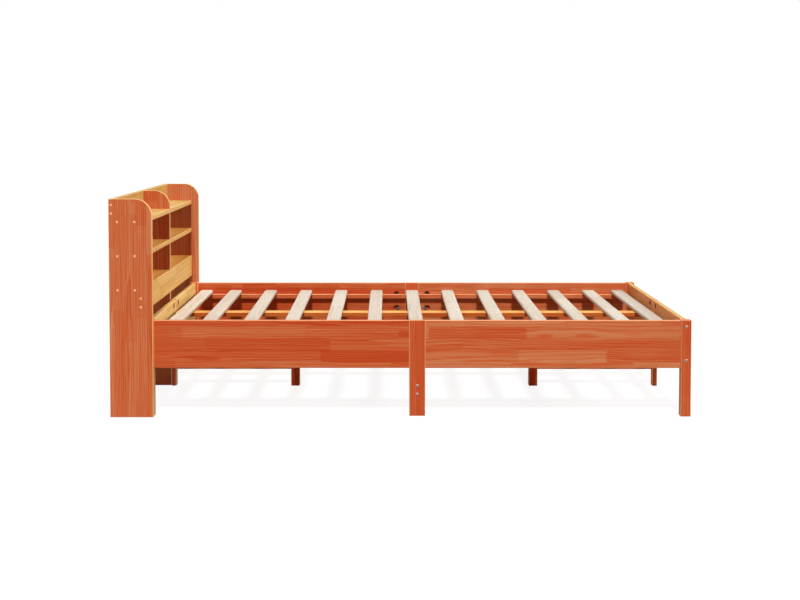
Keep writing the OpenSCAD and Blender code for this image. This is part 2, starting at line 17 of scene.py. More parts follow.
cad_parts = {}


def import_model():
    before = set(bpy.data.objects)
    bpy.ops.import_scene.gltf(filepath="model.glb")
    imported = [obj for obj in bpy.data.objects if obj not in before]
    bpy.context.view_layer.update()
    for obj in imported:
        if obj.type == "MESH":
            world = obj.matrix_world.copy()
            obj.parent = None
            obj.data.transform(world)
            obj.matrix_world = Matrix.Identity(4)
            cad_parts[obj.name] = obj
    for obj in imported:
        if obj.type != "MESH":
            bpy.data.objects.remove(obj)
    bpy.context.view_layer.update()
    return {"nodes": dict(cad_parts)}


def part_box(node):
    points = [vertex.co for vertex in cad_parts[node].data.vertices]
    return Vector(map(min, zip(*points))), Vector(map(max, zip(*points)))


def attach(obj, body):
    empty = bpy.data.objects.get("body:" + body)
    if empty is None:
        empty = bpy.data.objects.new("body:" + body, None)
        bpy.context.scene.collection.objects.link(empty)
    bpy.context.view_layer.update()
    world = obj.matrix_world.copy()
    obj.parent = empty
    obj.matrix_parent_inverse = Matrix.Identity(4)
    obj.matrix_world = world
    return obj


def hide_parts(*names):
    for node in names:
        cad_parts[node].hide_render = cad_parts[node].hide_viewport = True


log = logging.getLogger("bed_frame")

Shape = bmesh.types.BMesh
Socket = bpy.types.NodeSocket
Pair = tuple[float, float]
Triple = tuple[float, float, float]
Screen = tuple[int, int, int]

BODY = "root"
ENDS = ("head", "foot")
SIDES = ("right", "left")
BOTH = (-1, 1)
MERGE = 1e-6              # Lengths below this are nothing.
PROBE = 0.001             # Step off a face that tells its two sides apart.
ALIGNED = 0.99            # Cosine above which two directions are the same.
COPLANAR = radians(0.5)   # Faces at a smaller angle are made one.
ROUND = 24                # Points of a ring of a fastener or a cap.
PLAY = 0.0001             # Room round and below a cap or a screw's head.
ONE_STRIP = 0.2           # Wider than any piece that isn't glued up from strips.
RELIEF = 0.0003           # Depth of the grain that can be felt.
MIDDLE = (0.2, 0.8)       # Where most values of a noise lie.


def srgb(colour: Screen) -> tuple[float, float, float, float]:
    """Turns a screen colour into Blender's linear colour.

    Args:
        colour: Red, green and blue from 0 to 255.

    Returns:
        The linear colour with an alpha of 1.
    """
    linear = [c / 12.92 if c <= 0.04045 else ((c + 0.055) / 1.055) ** 2.4
              for c in (part / 255 for part in colour)]
    return (*linear, 1.0)


class Axis(Enum):
    """An axis of the bed's frame."""

    X = Vector((1, 0, 0))
    Y = Vector((0, 1, 0))
    Z = Vector((0, 0, 1))

    @property
    def index(self) -> int:
        """Place of the axis in a vector."""
        return "XYZ".index(self.name)


class Slot(Enum):
    """Material slots of the record."""

    STAINED = "stained_pine"
    RAW = "raw_pine"
    ZINC = "zinc_steel"
    CAP = "cap_plastic"


# ---- Materials


class Graph:
    """Adds nodes to one node tree and links them."""

    def __init__(self, tree: bpy.types.NodeTree) -> None:
        """Keeps the tree that the nodes go into.

        Args:
            tree: A material's, a world's or a group's node tree.
        """
        self.tree = tree

    def add(self, kind: str, *inputs: object, **properties: object) -> bpy.types.Node:
        """Adds a node, sets its properties and fills its first inputs.

        Args:
            kind: Name of the node's class without its prefix.
            *inputs: A socket or a value for each input in order, or None to leave it.
            **properties: Properties of the node.

        Returns:
            The new node.
        """
        node = self.tree.nodes.new("ShaderNode" + kind)
        for name, value in properties.items():
            setattr(node, name, value)
        for socket, value in zip(node.inputs, inputs):
            self.plug(socket, value)
        return node

    def plug(self, socket: Socket, value: object) -> None:
        """Links a socket to another one, or gives it a plain value.

        Args:
            socket: The input to fill.
            value: A socket, a plain value, or None to leave the input.
        """
        if isinstance(value, Socket):
            self.tree.links.new(value, socket)
        elif value is not None:
            socket.default_value = value

    def coordinate(self, name: str) -> Socket:
        """Returns one of the piece's own texture coordinates."""
        return self.add("TexCoord").outputs[name]

    def normal(self) -> Sequence[Socket]:
        """Returns the three parts of the direction that a face looks in."""
        return self.add("SeparateXYZ", self.coordinate("Normal")).outputs

    def math(self, operation: str, *values: object) -> Socket:
        """Returns the result of a Math node."""
        return self.add("Math", *values, operation=operation).outputs[0]

    def swing(self, value: object, share: float, base: object) -> Socket:
        """Returns a base plus a share of a value that lies round one half."""
        return self.math("MULTIPLY_ADD", self.math("SUBTRACT", value, 0.5), share, base)

    def scaled(self, vector: object, factors: Triple) -> Socket:
        """Returns a vector times one factor for each axis."""
        return self.add("VectorMath", vector, factors, operation="MULTIPLY").outputs[0]

    def moved(self, vector: object, *steps: object) -> Socket:
        """Returns a vector plus a step along each axis."""
        step = self.add("CombineXYZ", *steps).outputs[0]
        return self.add("VectorMath", vector, step, operation="ADD").outputs[0]

    def ramp(self, value: object, low: float, high: float,
             bottom: float = 0.0, top: float = 1.0) -> Socket:
        """Returns a smooth step of a value.

        Args:
            value: The socket to read.
            low: Value at which the step starts.
            high: Value at which the step ends.
            bottom: Result at the start.
            top: Result at the end.

        Returns:
            The stepped value.
        """
        return self.add("MapRange", value, low, high, bottom, top,
                        interpolation_type="SMOOTHSTEP").outputs[0]

    def tones(self, value: object, stops: Iterable[tuple[float, Screen]]) -> Socket:
        """Returns a colour ramp's colour.

        Args:
            value: Place on the ramp.
            stops: Places with their screen colours, from low to high.

        Returns:
            The colour socket.
        """
        node = self.add("ValToRGB", value)
        stops = tuple(stops)
        elements = node.color_ramp.elements
        while len(elements) < len(stops):
            elements.new(1.0)
        for element, (place, colour) in zip(elements, stops):
            element.position = place
            element.color = srgb(colour)
        return node.outputs[0]

    def blend(self, factor: object, first: object, second: object) -> Socket:
        """Mixes two colours.

        Args:
            factor: Share of the second colour.
            first: The first colour.
            second: The second colour.

        Returns:
            The mixed colour.
        """
        node = self.add("Mix", data_type="RGBA")
        for name, value in (("Factor_Float", factor), ("A_Color", first), ("B_Color", second)):
            self.plug(next(s for s in node.inputs if s.identifier == name), value)
        return next(s for s in node.outputs if s.identifier == "Result_Color")

    def noise(self, vector: object, scale: float = 1.0, detail: float = 2.0,
              roughness: float = 0.5) -> Socket:
        """Adds a noise texture.

        Args:
            vector: Where the noise is read.
            scale: Its scale.
            detail: Number of its finer layers.
            roughness: Weight of the finer layers.

        Returns:
            The noise's value, round one half.
        """
        node = self.add("TexNoise")
        for name, value in (("Vector", vector), ("Scale", scale), ("Detail", detail),
                            ("Roughness", roughness)):
            self.plug(node.inputs[name], value)
        return node.outputs[0]


@dataclass(frozen=True)
class TimberFigure:
    """The figure of glued pine: strips, finger-jointed blocks, growth rings and fibres.

    The figure runs along the first axis of its vector, and the strips lie side by side along
    the second. The scales are along, across and into the wood. The shares say how much each
    part of the figure adds to the tone, and the steps keep the patterns of two strips apart.
    """

    name: str = "pine_figure"
    finger_pitch: float = 0.004
    finger_slope: float = 2.2
    glue_line: float = 0.0005
    seed_step: float = 17.3
    run_step: float = 97.0
    place_step: float = 31.0
    ring_width: float = 0.0075
    ring_rise: Pair = (0.30, 0.86)
    ring_fall: Pair = (0.90, 1.0)
    heart_side: float = 0.16
    heart_lean: float = 0.06
    heart_drop: float = 0.05
    heart_depth: float = 0.012
    sway: float = 0.022
    bend: float = 0.03
    sway_scale: Triple = (2.5, 9.0, 9.0)
    streak_scale: Triple = (1.6, 150.0, 150.0)
    broad_scale: Triple = (1.0, 14.0, 14.0)
    fibre_scale: Triple = (22.0, 900.0, 900.0)
    block_share: float = 0.42
    streak_share: float = 1.0
    broad_share: float = 0.35
    fibre_share: float = 0.25
    ring_share: float = -0.26

    def blocks(self, g: Graph, along: Socket, across: Socket, strip: Socket, block: Socket,
               seed: Socket) -> tuple[Socket, ...]:
        """Finds the glued block that a point lies in.

        Args:
            g: The group's graph.
            along: Place along the grain.
            across: Place across the strips.
            strip: Width of a strip.
            block: Mean length of a block.
            seed: Number of the piece.

        Returns:
            The place in the strip, the strip's random number, the glue lines, and three
            random numbers of the block.
        """
        place = g.math("ADD", g.math("DIVIDE", across, strip), 0.5)
        in_strip = g.math("MULTIPLY", g.math("SUBTRACT", g.math("FRACT", place), 0.5), strip)
        draw = g.add("TexWhiteNoise", noise_dimensions="1D")
        g.plug(draw.inputs["W"],
               g.math("MULTIPLY_ADD", seed, self.seed_step, g.math("FLOOR", place)))
        chance = draw.outputs["Value"]
        fingers = g.math("MULTIPLY", g.math("PINGPONG", across, self.finger_pitch),
                         self.finger_slope)
        run = g.math("DIVIDE", g.math("ADD", along, fingers), block)
        run = g.math("MULTIPLY_ADD", chance, self.run_step, run)
        cell, border = (g.add("TexVoronoi", voronoi_dimensions="1D", feature=feature)
                        for feature in ("F1", "DISTANCE_TO_EDGE"))
        for voronoi in (cell, border):
            g.plug(voronoi.inputs["W"], run)
            g.plug(voronoi.inputs["Scale"], 1.0)
        block_gap = g.math("MULTIPLY", border.outputs["Distance"], block)
        strip_gap = g.math("SUBTRACT", g.math("MULTIPLY", strip, 0.5),
                           g.math("ABSOLUTE", in_strip))
        gap = g.math("MINIMUM", block_gap, strip_gap)
        joint = g.math("SUBTRACT", 1.0, g.ramp(gap, 0.0, self.glue_line))
        return in_strip, chance, joint, *g.add("SeparateColor", cell.outputs["Color"]).outputs

    def rings(self, g: Graph, along: Socket, in_strip: Socket, deep: Socket, sway: Socket,
              chances: Sequence[Socket]) -> Socket:
        """Draws growth rings round a heart that lies below the face.

        Args:
            g: The group's graph.
            along: Place along the grain.
            in_strip: Place across the strip, from its middle.
            deep: Place into the wood.
            sway: Noise that the rings sway by.
            chances: Three random numbers of the block.

        Returns:
            The strength of the late wood.
        """
        drop, lean, heart = chances
        side = g.swing(heart, self.heart_side, in_strip)
        lean = g.math("MULTIPLY", g.math("SUBTRACT", lean, 0.5), along)
        side = g.math("MULTIPLY_ADD", lean, self.heart_lean, side)
        depth = g.math("ADD", deep, self.heart_depth)
        depth = g.math("MULTIPLY_ADD", drop, self.heart_drop, depth)
        radius = g.math("SQRT", g.math("ADD", g.math("MULTIPLY", side, side),
                                       g.math("MULTIPLY", depth, depth)))
        radius = g.math("MULTIPLY_ADD", sway, self.sway, radius)
        turn = g.math("FRACT", g.math("DIVIDE", radius, self.ring_width))
        return g.math("MULTIPLY", g.ramp(turn, *self.ring_rise),
                      g.ramp(turn, *self.ring_fall, 1.0, 0.0))

    def group(self) -> bpy.types.NodeTree:
        """Builds the shared node group once.

        Returns:
            The group, with the outputs Tone, Ring, Fibre and Joint.
        """
        if self.name in bpy.data.node_groups:
            return bpy.data.node_groups[self.name]
        tree = bpy.data.node_groups.new(self.name, "ShaderNodeTree")
        for label in ("Vector", "Strip", "Block", "Seed"):
            kind = "NodeSocketVector" if label == "Vector" else "NodeSocketFloat"
            tree.interface.new_socket(label, in_out="INPUT", socket_type=kind)
        for label in ("Tone", "Ring", "Fibre", "Joint"):
            tree.interface.new_socket(label, in_out="OUTPUT", socket_type="NodeSocketFloat")
        g = Graph(tree)
        vector, strip, block, seed = tree.nodes.new("NodeGroupInput").outputs[:4]
        along, across, deep = g.add("SeparateXYZ", vector).outputs
        in_strip, chance, joint, *chances = self.blocks(g, along, across, strip, block, seed)

        offset = g.math("MULTIPLY", chance, self.place_step)
        moved = g.moved(vector, offset, offset, offset)
        sway = g.noise(g.scaled(moved, self.sway_scale))
        ring = self.rings(g, along, in_strip, deep, sway, chances)
        bend = g.math("MULTIPLY", g.math("SUBTRACT", sway, 0.5), self.bend)
        bent = g.moved(moved, 0.0, bend, bend)
        streak = g.noise(g.scaled(bent, self.streak_scale), detail=3.0, roughness=0.6)
        broad = g.noise(g.scaled(moved, self.broad_scale))
        fibre = g.noise(g.scaled(moved, self.fibre_scale), detail=3.0, roughness=0.6)
        tone = 0.5
        for value, share in ((chances[0], self.block_share), (streak, self.streak_share),
                             (broad, self.broad_share), (fibre, self.fibre_share)):
            tone = g.swing(value, share, tone)
        tone = g.math("MULTIPLY_ADD", ring, self.ring_share, tone)
        end = tree.nodes.new("NodeGroupOutput")
        for socket, value in zip(end.inputs, (tone, ring, fibre, joint)):
            g.plug(socket, value)
        return tree


@dataclass(frozen=True)
class Figure:
    """How the figure lies on one piece.

    Strip and block are the width and the mean length of the glued blocks. Tone moves the piece
    up or down its colour ramps, contrast stretches it over them, and lightness multiplies the
    finished colour: painted light or shade over the whole piece.
    """

    grain: Axis
    across: Axis
    strip: float = 0.0362
    block: float = 0.42
    tone: float = 0.0
    contrast: float = 0.85
    painted_brightness: float = 1.0

    def turn(self) -> Matrix:
        """Turn that brings the grain to X and the strips' axis to Y."""
        grain, across = self.grain.value, self.across.value
        return Matrix((grain, across, grain.cross(across)))


@dataclass(frozen=True)
class Board:
    """One piece of wood as its finish sees it, with a number that sets it apart."""

    name: str
    figure: Figure
    centre: Vector
    seed: float


class Finish:
    """A finish that makes one material for each piece."""

    slot: Slot
    name: str

    def new_graph(self, piece: str) -> tuple[bpy.types.Material, Graph, bpy.types.Node]:
        """Starts a material.

        Args:
            piece: Name of the piece that it is for.

        Returns:
            The material, its graph and its shader node.
        """
        material = bpy.data.materials.new(f"{self.name}_{piece}")
        material.use_nodes = True
        return material, Graph(material.node_tree), material.node_tree.nodes["Principled BSDF"]

    def figure(self, g: Graph, board: Board) -> tuple[Socket, ...]:
        """Lays the pine figure on a board.

        Args:
            g: The material's graph.
            board: The board.

        Returns:
            The sockets of the tone, the growth rings, the fibres and the glue lines.
        """
        figure = board.figure
        turn = figure.turn()
        mapping = g.add("Mapping", g.coordinate("Object"), -(turn @ board.centre),
                        turn.to_euler("XYZ"))
        tone, ring, fibre, joint = g.add(
            "Group", mapping.outputs[0], figure.strip, figure.block, board.seed,
            node_tree=TimberFigure().group()).outputs
        level = 0.5 + figure.tone - 0.5 * figure.contrast
        return g.math("MULTIPLY_ADD", tone, figure.contrast, level), ring, fibre, joint

    def relief(self, g: Graph, shader: bpy.types.Node, height: Socket, strength: float) -> None:
        """Gives a material the relief of its grain.

        Args:
            g: The material's graph.
            shader: Its shader node.
            height: Height of the relief.
            strength: How strongly the light shows it.
        """
        bump = g.add("Bump")
        bump.inputs["Strength"].default_value = strength
        bump.inputs["Distance"].default_value = RELIEF
        g.plug(bump.inputs["Height"], height)
        g.plug(shader.inputs["Normal"], bump.outputs[0])


class PaintedTopTone(Enum):
    """Painted light: colours of the stained faces that look up, paler than the sides, from the
    darkest streak to the lightest.
    """

    HONEY = ((190, 147, 75), (200, 160, 88), (207, 171, 99), (224, 196, 130))
    # Gold is brighter: painted light for tops that lie in shade.
    GOLD = ((222, 154, 68), (232, 167, 81), (238, 177, 92), (246, 203, 126))
    BLUSH = ((200, 112, 66), (212, 134, 90), (220, 148, 106), (234, 176, 134))


class SideTone(Enum):
    """Colours of the stained faces that look to the sides, in the same order."""

    ORANGE = ((188, 67, 30), (201, 91, 48), (206, 117, 74), (216, 148, 106))
    AMBER = ((181, 78, 25), (193, 95, 38), (201, 107, 48), (213, 133, 72))


@dataclass(frozen=True)
class StainedPine(Finish):
    """Pine stained orange under satin varnish, with painted light by the faces' direction: the
    faces that look up and to the ends are painted honey, those that look to the sides orange.

    The rims are painted paler, a painted highlight on the rounded edges: by highlight_share, and
    by under_highlight_share of that on the undersides. Faces that look to the head take
    head_shade_share of the side's colour, a painted shade on the faces turned from the light.
    Each turn is the range of a face's direction over which one colour gives way to another.
    """

    slot: Slot = Slot.STAINED
    name: str = "stained_pine"
    top: PaintedTopTone = PaintedTopTone.BLUSH
    side: SideTone = SideTone.ORANGE
    # Painted light: the faces that look to the ends are painted honey.
    end: tuple[Screen, ...] = ((208, 151, 75), (219, 170, 92), (227, 183, 106), (242, 206, 138))
    stops: tuple[float, ...] = (0.0, 0.35, 0.6, 1.0)
    turn: Pair = (0.55, 0.9)
    head_shade_turn: Pair = (-0.9, -0.5)
    highlight_turn: Pair = (0.86, 0.99)
    under_highlight_turn: Pair = (-0.8, -0.2)
    head_shade_share: float = 0.65
    # Colour of the painted highlight on the rounded rims.
    rim: Screen = (250, 186, 142)
    highlight_share: float = 0.8
    under_highlight_share: float = 0.1
    glue: Screen = (120, 44, 14)
    glue_share: float = 0.3
    roughness: Pair = (0.44, 0.58)
    specular: float = 0.06
    grain_relief: float = 0.35
    fibre_height: float = 0.5
    ring_height: float = 0.3

    def material(self, board: Board) -> bpy.types.Material:
        """Makes the material of one board.

        Args:
            board: The board.

        Returns:
            The material.
        """
        material, g, shader = self.new_graph(board.name)
        tone, ring, fibre, joint = self.figure(g, board)
        # Painted light: the colour follows the face's direction, honey on the ends, the top's
        # colour on the tops, orange on the sides.
        side, end, top = (g.tones(tone, zip(self.stops, colours))
                          for colours in (self.side.value, self.end, self.top.value))
        normal = g.normal()
        facing = [g.math("ABSOLUTE", part) for part in normal]
        # Painted shade: faces that look to the head take a share of the side's darker colour.
        end = g.blend(g.ramp(normal[0], *self.head_shade_turn, self.head_shade_share, 0.0), end, side)
        colour = g.blend(g.ramp(facing[1], *self.turn), end, side)
        colour = g.blend(g.ramp(facing[2], *self.turn), colour, top)
        # Painted highlight: the rounded rims are painted paler, less so on the undersides.
        flat = g.math("MAXIMUM", g.math("MAXIMUM", facing[0], facing[1]), facing[2])
        painted_light = g.math("MULTIPLY", g.ramp(flat, *self.highlight_turn, self.highlight_share, 0.0),
                      g.ramp(normal[2], *self.under_highlight_turn, self.under_highlight_share, 1.0))
        colour = g.blend(painted_light, colour, srgb(self.rim))
        colour = g.blend(g.math("MULTIPLY", joint, self.glue_share), colour, srgb(self.glue))
        # The piece's lightness: painted light or shade over the whole piece.
        g.plug(shader.inputs["Base Color"], g.scaled(colour, (board.figure.painted_brightness,) * 3))
        g.plug(shader.inputs["Roughness"], g.ramp(fibre, *MIDDLE, *self.roughness))
        shader.inputs["Specular IOR Level"].default_value = self.specular
        lines = g.math("SUBTRACT", g.math("MULTIPLY", ring, self.ring_height), joint)
        height = g.math("ADD", g.math("MULTIPLY", fibre, self.fibre_height), lines)
        self.relief(g, shader, height, self.grain_relief)
        return material


@dataclass(frozen=True)
class RawPine(Finish):
    """Planed pine without stain or varnish, with painted shade on its sides and undersides."""

    slot: Slot = Slot.RAW
    name: str = "raw_pine"
    planed: tuple[tuple[float, Screen], ...] = (
        (0.0, (190, 177, 159)), (0.35, (200, 190, 174)),
        (0.6, (205, 197, 182)), (1.0, (214, 207, 194)))
    # Colour of the painted shade on the faces that don't look up.
    side_shade: Screen = (176, 142, 112)
    side_shade_turn: Pair = (0.0, 0.7)
    side_shade_share: float = 0.7
    glue: Screen = (190, 150, 110)
    glue_share: float = 0.2
    roughness: float = 0.7
    specular: float = 0.15
    grain_relief: float = 0.4

    def material(self, board: Board) -> bpy.types.Material:
        """Makes the material of one board.

        Args:
            board: The board.

        Returns:
            The material.
        """
        material, g, shader = self.new_graph(board.name)
        tone, ring, fibre, joint = self.figure(g, board)
        colour = g.blend(g.math("MULTIPLY", joint, self.glue_share), g.tones(tone, self.planed),
                         srgb(self.glue))
        # Painted shade: the sides and undersides are painted darker.
        colour = g.blend(g.ramp(g.normal()[2], *self.side_shade_turn, self.side_shade_share, 0.0), colour,
                         srgb(self.side_shade))
        # The piece's lightness: painted light or shade over the whole piece.
        g.plug(shader.inputs["Base Color"], g.scaled(colour, (board.figure.painted_brightness,) * 3))
        shader.inputs["Roughness"].default_value = self.roughness
        shader.inputs["Specular IOR Level"].default_value = self.specular
        self.relief(g, shader, g.math("SUBTRACT", fibre, ring), self.grain_relief)
        return material


@dataclass(frozen=True)
class ZincSteel(Finish):
    """Zinc-plated steel with a faint cloudy sheen."""

    slot: Slot = Slot.ZINC
    name: str = "zinc_steel"
    dull: Screen = (126, 108, 98)
    bright: Screen = (170, 148, 134)
    cloud_scale: float = 260.0
    roughness: Pair = (0.40, 0.56)

    def material(self, piece: str) -> bpy.types.Material:
        """Makes the material of one piece.

        Args:
            piece: Name of the piece.

        Returns:
            The material.
        """
        material, g, shader = self.new_graph(piece)
        cloud = g.noise(g.coordinate("Object"), self.cloud_scale, 3.0)
        g.plug(shader.inputs["Base Color"], g.tones(cloud, zip(MIDDLE, (self.dull, self.bright))))
        g.plug(shader.inputs["Roughness"], g.ramp(cloud, *MIDDLE, *self.roughness))
        shader.inputs["Metallic"].default_value = 1.0
        return material


@dataclass(frozen=True)
class CapPlastic(Finish):
    """Matt plastic in a pale wood tone, finely speckled."""

    slot: Slot = Slot.CAP
    name: str = "cap_plastic"
    dark: Screen = (246, 178, 140)
    pale: Screen = (255, 196, 158)
    speck_scale: float = 1400.0
    speck_span: Pair = (0.3, 0.7)
    roughness: float = 0.5

    def material(self, piece: str) -> bpy.types.Material:
        """Makes the material of one piece.

        Args:
            piece: Name of the piece.

        Returns:
            The material.
        """
        material, g, shader = self.new_graph(piece)
        speck = g.noise(g.coordinate("Object"), self.speck_scale)
        g.plug(shader.inputs["Base Color"],
               g.tones(speck, zip(self.speck_span, (self.dark, self.pale))))
        shader.inputs["Roughness"].default_value = self.roughness
        return material


# ---- Meshes


def stored(name: str, mesh: Shape) -> bpy.types.Mesh:
    """Stores a shape as mesh data.

    Args:
        name: Name of the data.
        mesh: The shape. It is freed.

    Returns:
        The mesh data.
    """
    data = bpy.data.meshes.new(name)
    mesh.to_mesh(data)
    mesh.free()
    return data


def linked(name: str, data: bpy.types.ID) -> bpy.types.Object:
    """Puts new data in the scene.

    Args:
        name: Name of the object.
        data: Its mesh, lamp or camera.

    Returns:
        The new object.
    """
    made = bpy.data.objects.new(name, data)
    bpy.context.scene.collection.objects.link(made)
    return made


def finish_piece(name: str, node: str, mesh: Shape,
                 material: bpy.types.Material) -> None:
    """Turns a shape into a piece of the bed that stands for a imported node.

    Args:
        name: Name of the piece.
        node: Name of the node.
        mesh: The shape, in place. It is freed.
        material: Its material.
    """
    data = stored(name, mesh)
    data.materials.append(material)
    piece = linked(name, data)
    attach(piece, BODY)
    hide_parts(node)
    log.info("%s: %d faces", name, len(data.polygons))


def bevel(mesh: Shape, edges: Iterable[bmesh.types.BMEdge], width: float,
          segments: int) -> None:
    """Rounds edges of a shape.

    Args:
        mesh: The shape.
        edges: The edges to round.
        width: Width of the rounding.
        segments: Faces across the rounding.
    """
    bmesh.ops.bevel(mesh, geom=list(edges), offset=width, offset_type="OFFSET",
                    segments=segments, profile=0.5, affect="EDGES", clamp_overlap=True,
                    material=-1, loop_slide=True)


def cut(mesh: Shape, faces: Iterable[bmesh.types.BMFace], at: Vector, normal: Vector) -> None:
    """Cuts faces along a plane and keeps both sides.

    Args:
        mesh: The shape.
        faces: The faces to cut.
        at: A point on the plane.
        normal: The plane's normal.
    """
    geom = {part for face in faces for part in (face, *face.edges, *face.verts)}
    bmesh.ops.bisect_plane(mesh, geom=list(geom), dist=MERGE, plane_co=at, plane_no=normal)


@dataclass(frozen=True)
class Span:
    """A box in the bed's frame."""

    low: Vector
    high: Vector

    @classmethod
    def of(cls, node: str) -> "Span":
        """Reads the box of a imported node."""
        low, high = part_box(node)
        return cls(Vector(low), Vector(high))

    @property
    def centre(self) -> Vector:
        """Middle of the box."""
        return (self.low + self.high) / 2

    @property
    def size(self) -> Vector:
        """Lengths of the box's sides."""
        return self.high - self.low

    def holds(self, point: Vector, axes: Iterable[Axis]) -> bool:
        """Tells whether a point lies inside the box along some axes."""
        return all(self.low[a.index] < point[a.index] < self.high[a.index] for a in axes)


@dataclass(frozen=True)
class Stick:
    """Planed timber: rounded along its edges and eased round its two ends."""

    span: Span
    grain: Axis
    edge_r: float = 0.0025
    end_ease: float = 0.0015
    edge_segments: int = 4
    end_segments: int = 2

    def edges(self, mesh: Shape, along: bool) -> list[bmesh.types.BMEdge]:
        """Finds the edges that run one way.

        Args:
            mesh: The timber's shape.
            along: Whether to find the edges along the grain, or else those across it.

        Returns:
            The edges.
        """
        grain = self.grain.value
        return [e for e in mesh.edges
                if (abs((e.verts[0].co - e.verts[1].co).dot(grain)) > MERGE) == along]

    def mesh(self) -> Shape:
        """Builds the timber.

        Returns:
            The timber's shape.
        """
        mesh = bmesh.new()
        bmesh.ops.create_cube(mesh, size=1.0)
        bmesh.ops.scale(mesh, vec=self.span.size, verts=mesh.verts)
        bmesh.ops.translate(mesh, vec=self.span.centre, verts=mesh.verts)
        bevel(mesh, self.edges(mesh, True), self.edge_r, self.edge_segments)
        if self.end_ease:
            bevel(mesh, self.edges(mesh, False), self.end_ease, self.end_segments)
        return mesh


@dataclass(frozen=True)
class Recess:
    """A round blind recess in a face of a timber, for a nut, a cap or a screw's head.

    The margin is the ring of faces between the recess and the square cut out for it, and cuts
    is the number of edges on a quarter of the recess.
    """

    at: Vector
    into: Vector
    radius: float = 0.016
    depth: float = 0.0145
    margin: float = 0.0028
    rim: float = 0.0005
    cuts: int = 8

    def opens(self, span: Span) -> bool:
        """Tells whether the recess opens in a face of a box."""
        step = self.into * PROBE
        return span.holds(self.at + step, Axis) and not span.holds(self.at - step, Axis)

    def open_faces(self, mesh: Shape) -> list[bmesh.types.BMFace]:
        """The faces of a shape that look out of the recess."""
        return [f for f in mesh.faces if f.normal.dot(self.into) < -ALIGNED]

    def mark(self, mesh: Shape) -> None:
        """Cuts the square that the recess is sunk into.

        Args:
            mesh: The timber's shape.
        """
        for axis in Axis:
            if abs(axis.value.dot(self.into)) < ALIGNED:
                for sign in BOTH:
                    edge = self.at + axis.value * sign * (self.radius + self.margin)
                    cut(mesh, self.open_faces(mesh), edge, axis.value)

    def sink(self, mesh: Shape) -> None:
        """Turns the square into the round recess.

        Args:
            mesh: The timber's shape, with the squares of all its recesses.
        """
        square = min(self.open_faces(mesh),
                     key=lambda f: (f.calc_center_median() - self.at).length)
        bmesh.ops.subdivide_edges(mesh, edges=square.edges[:], cuts=self.cuts - 1)
        bmesh.ops.inset_individual(mesh, faces=[square], thickness=self.margin / 2)
        for vert in square.verts:
            vert.co = self.at + (vert.co - self.at).normalized() * self.radius
        rim = square.edges[:]
        floor = bmesh.ops.extrude_discrete_faces(mesh, faces=[square])["faces"][0]
        bmesh.ops.translate(mesh, vec=self.into * self.depth, verts=floor.verts)
        bevel(mesh, [e for e in rim if e.is_valid], self.rim, 1)


@dataclass(frozen=True)
class Slab:
    """A flat board: a rectangle less its notches, with one corner that may be round."""

    span: Span
    flat: Axis
    notches: tuple[Span, ...] = ()
    corner_r: float = 0.0
    ease: float = 0.002
    eased: tuple[Axis, ...] = (Axis.X, Axis.Z)
    corner_segments: int = 20
    ease_segments: int = 3

    @property
    def plane(self) -> tuple[Axis, Axis]:
        """The two axes of the board's faces."""
        return (Axis.X, Axis.Z) if self.flat is Axis.Y else (Axis.X, Axis.Y)

    def outer(self, point: Vector) -> bool:
        """Tells whether a point lies on the board's outline, away from its notches.

        Args:
            point: The point.

        Returns:
            True if the edge there is eased.
        """
        low, high = self.span.low, self.span.high
        near, near_arc = 1e-5, 1e-4
        on_side = any(min(point[a.index] - low[a.index], high[a.index] - point[a.index]) < near
                      for a in self.eased)
        if not self.corner_r:
            return on_side
        u, v = (point[a.index] - high[a.index] + self.corner_r for a in self.plane)
        on_arc = min(u, v) > -near and abs(sqrt(u ** 2 + v ** 2) - self.corner_r) < near_arc
        return on_side or on_arc

    def outline(self) -> Shape:
        """Builds the board's middle plane, with its round corner and its notches.

        Returns:
            A flat shape.
        """
        mesh = bmesh.new()
        bmesh.ops.create_grid(mesh, x_segments=1, y_segments=1, size=0.5)
        if self.flat is Axis.Y:
            bmesh.ops.rotate(mesh, matrix=Matrix.Rotation(pi / 2, 3, "X"), verts=mesh.verts)
        bmesh.ops.scale(mesh, vec=self.span.size, verts=mesh.verts)
        bmesh.ops.translate(mesh, vec=self.span.centre, verts=mesh.verts)
        if self.corner_r:
            u, v = (axis.value for axis in self.plane)
            corner = max(mesh.verts, key=lambda vert: vert.co.dot(u + v))
            bmesh.ops.bevel(mesh, geom=[corner], offset=self.corner_r, offset_type="OFFSET",
                            segments=self.corner_segments, profile=0.5, affect="VERTICES",
                            material=-1)
        for notch in self.notches:
            for axis in self.plane:
                for side in (notch.low, notch.high):
                    cut(mesh, mesh.faces, side, axis.value)
        gone = [f for f in mesh.faces
                if any(n.holds(f.calc_center_bounds(), self.plane) for n in self.notches)]
        bmesh.ops.delete(mesh, geom=gone, context="FACES")
        bmesh.ops.dissolve_limit(mesh, angle_limit=COPLANAR, verts=mesh.verts, edges=mesh.edges)
        return mesh

    def mesh(self) -> Shape:
        """Builds the board.

        Returns:
            The board's shape.
        """
        mesh = self.outline()
        flat = self.flat.value
        thick = self.span.size[self.flat.index]
        bmesh.ops.translate(mesh, vec=-flat * thick / 2, verts=mesh.verts)
        grown = bmesh.ops.extrude_face_region(mesh, geom=mesh.faces[:])["geom"]
        bmesh.ops.translate(mesh, vec=flat * thick,
                            verts=[g for g in grown if isinstance(g, bmesh.types.BMVert)])
        bmesh.ops.recalc_face_normals(mesh, faces=mesh.faces)
        rims = [e for e in mesh.edges
                if abs((e.verts[1].co - e.verts[0].co).dot(flat)) < MERGE
                and self.outer((e.verts[0].co + e.verts[1].co) / 2)]
        bevel(mesh, rims, self.ease, self.ease_segments)
        return mesh


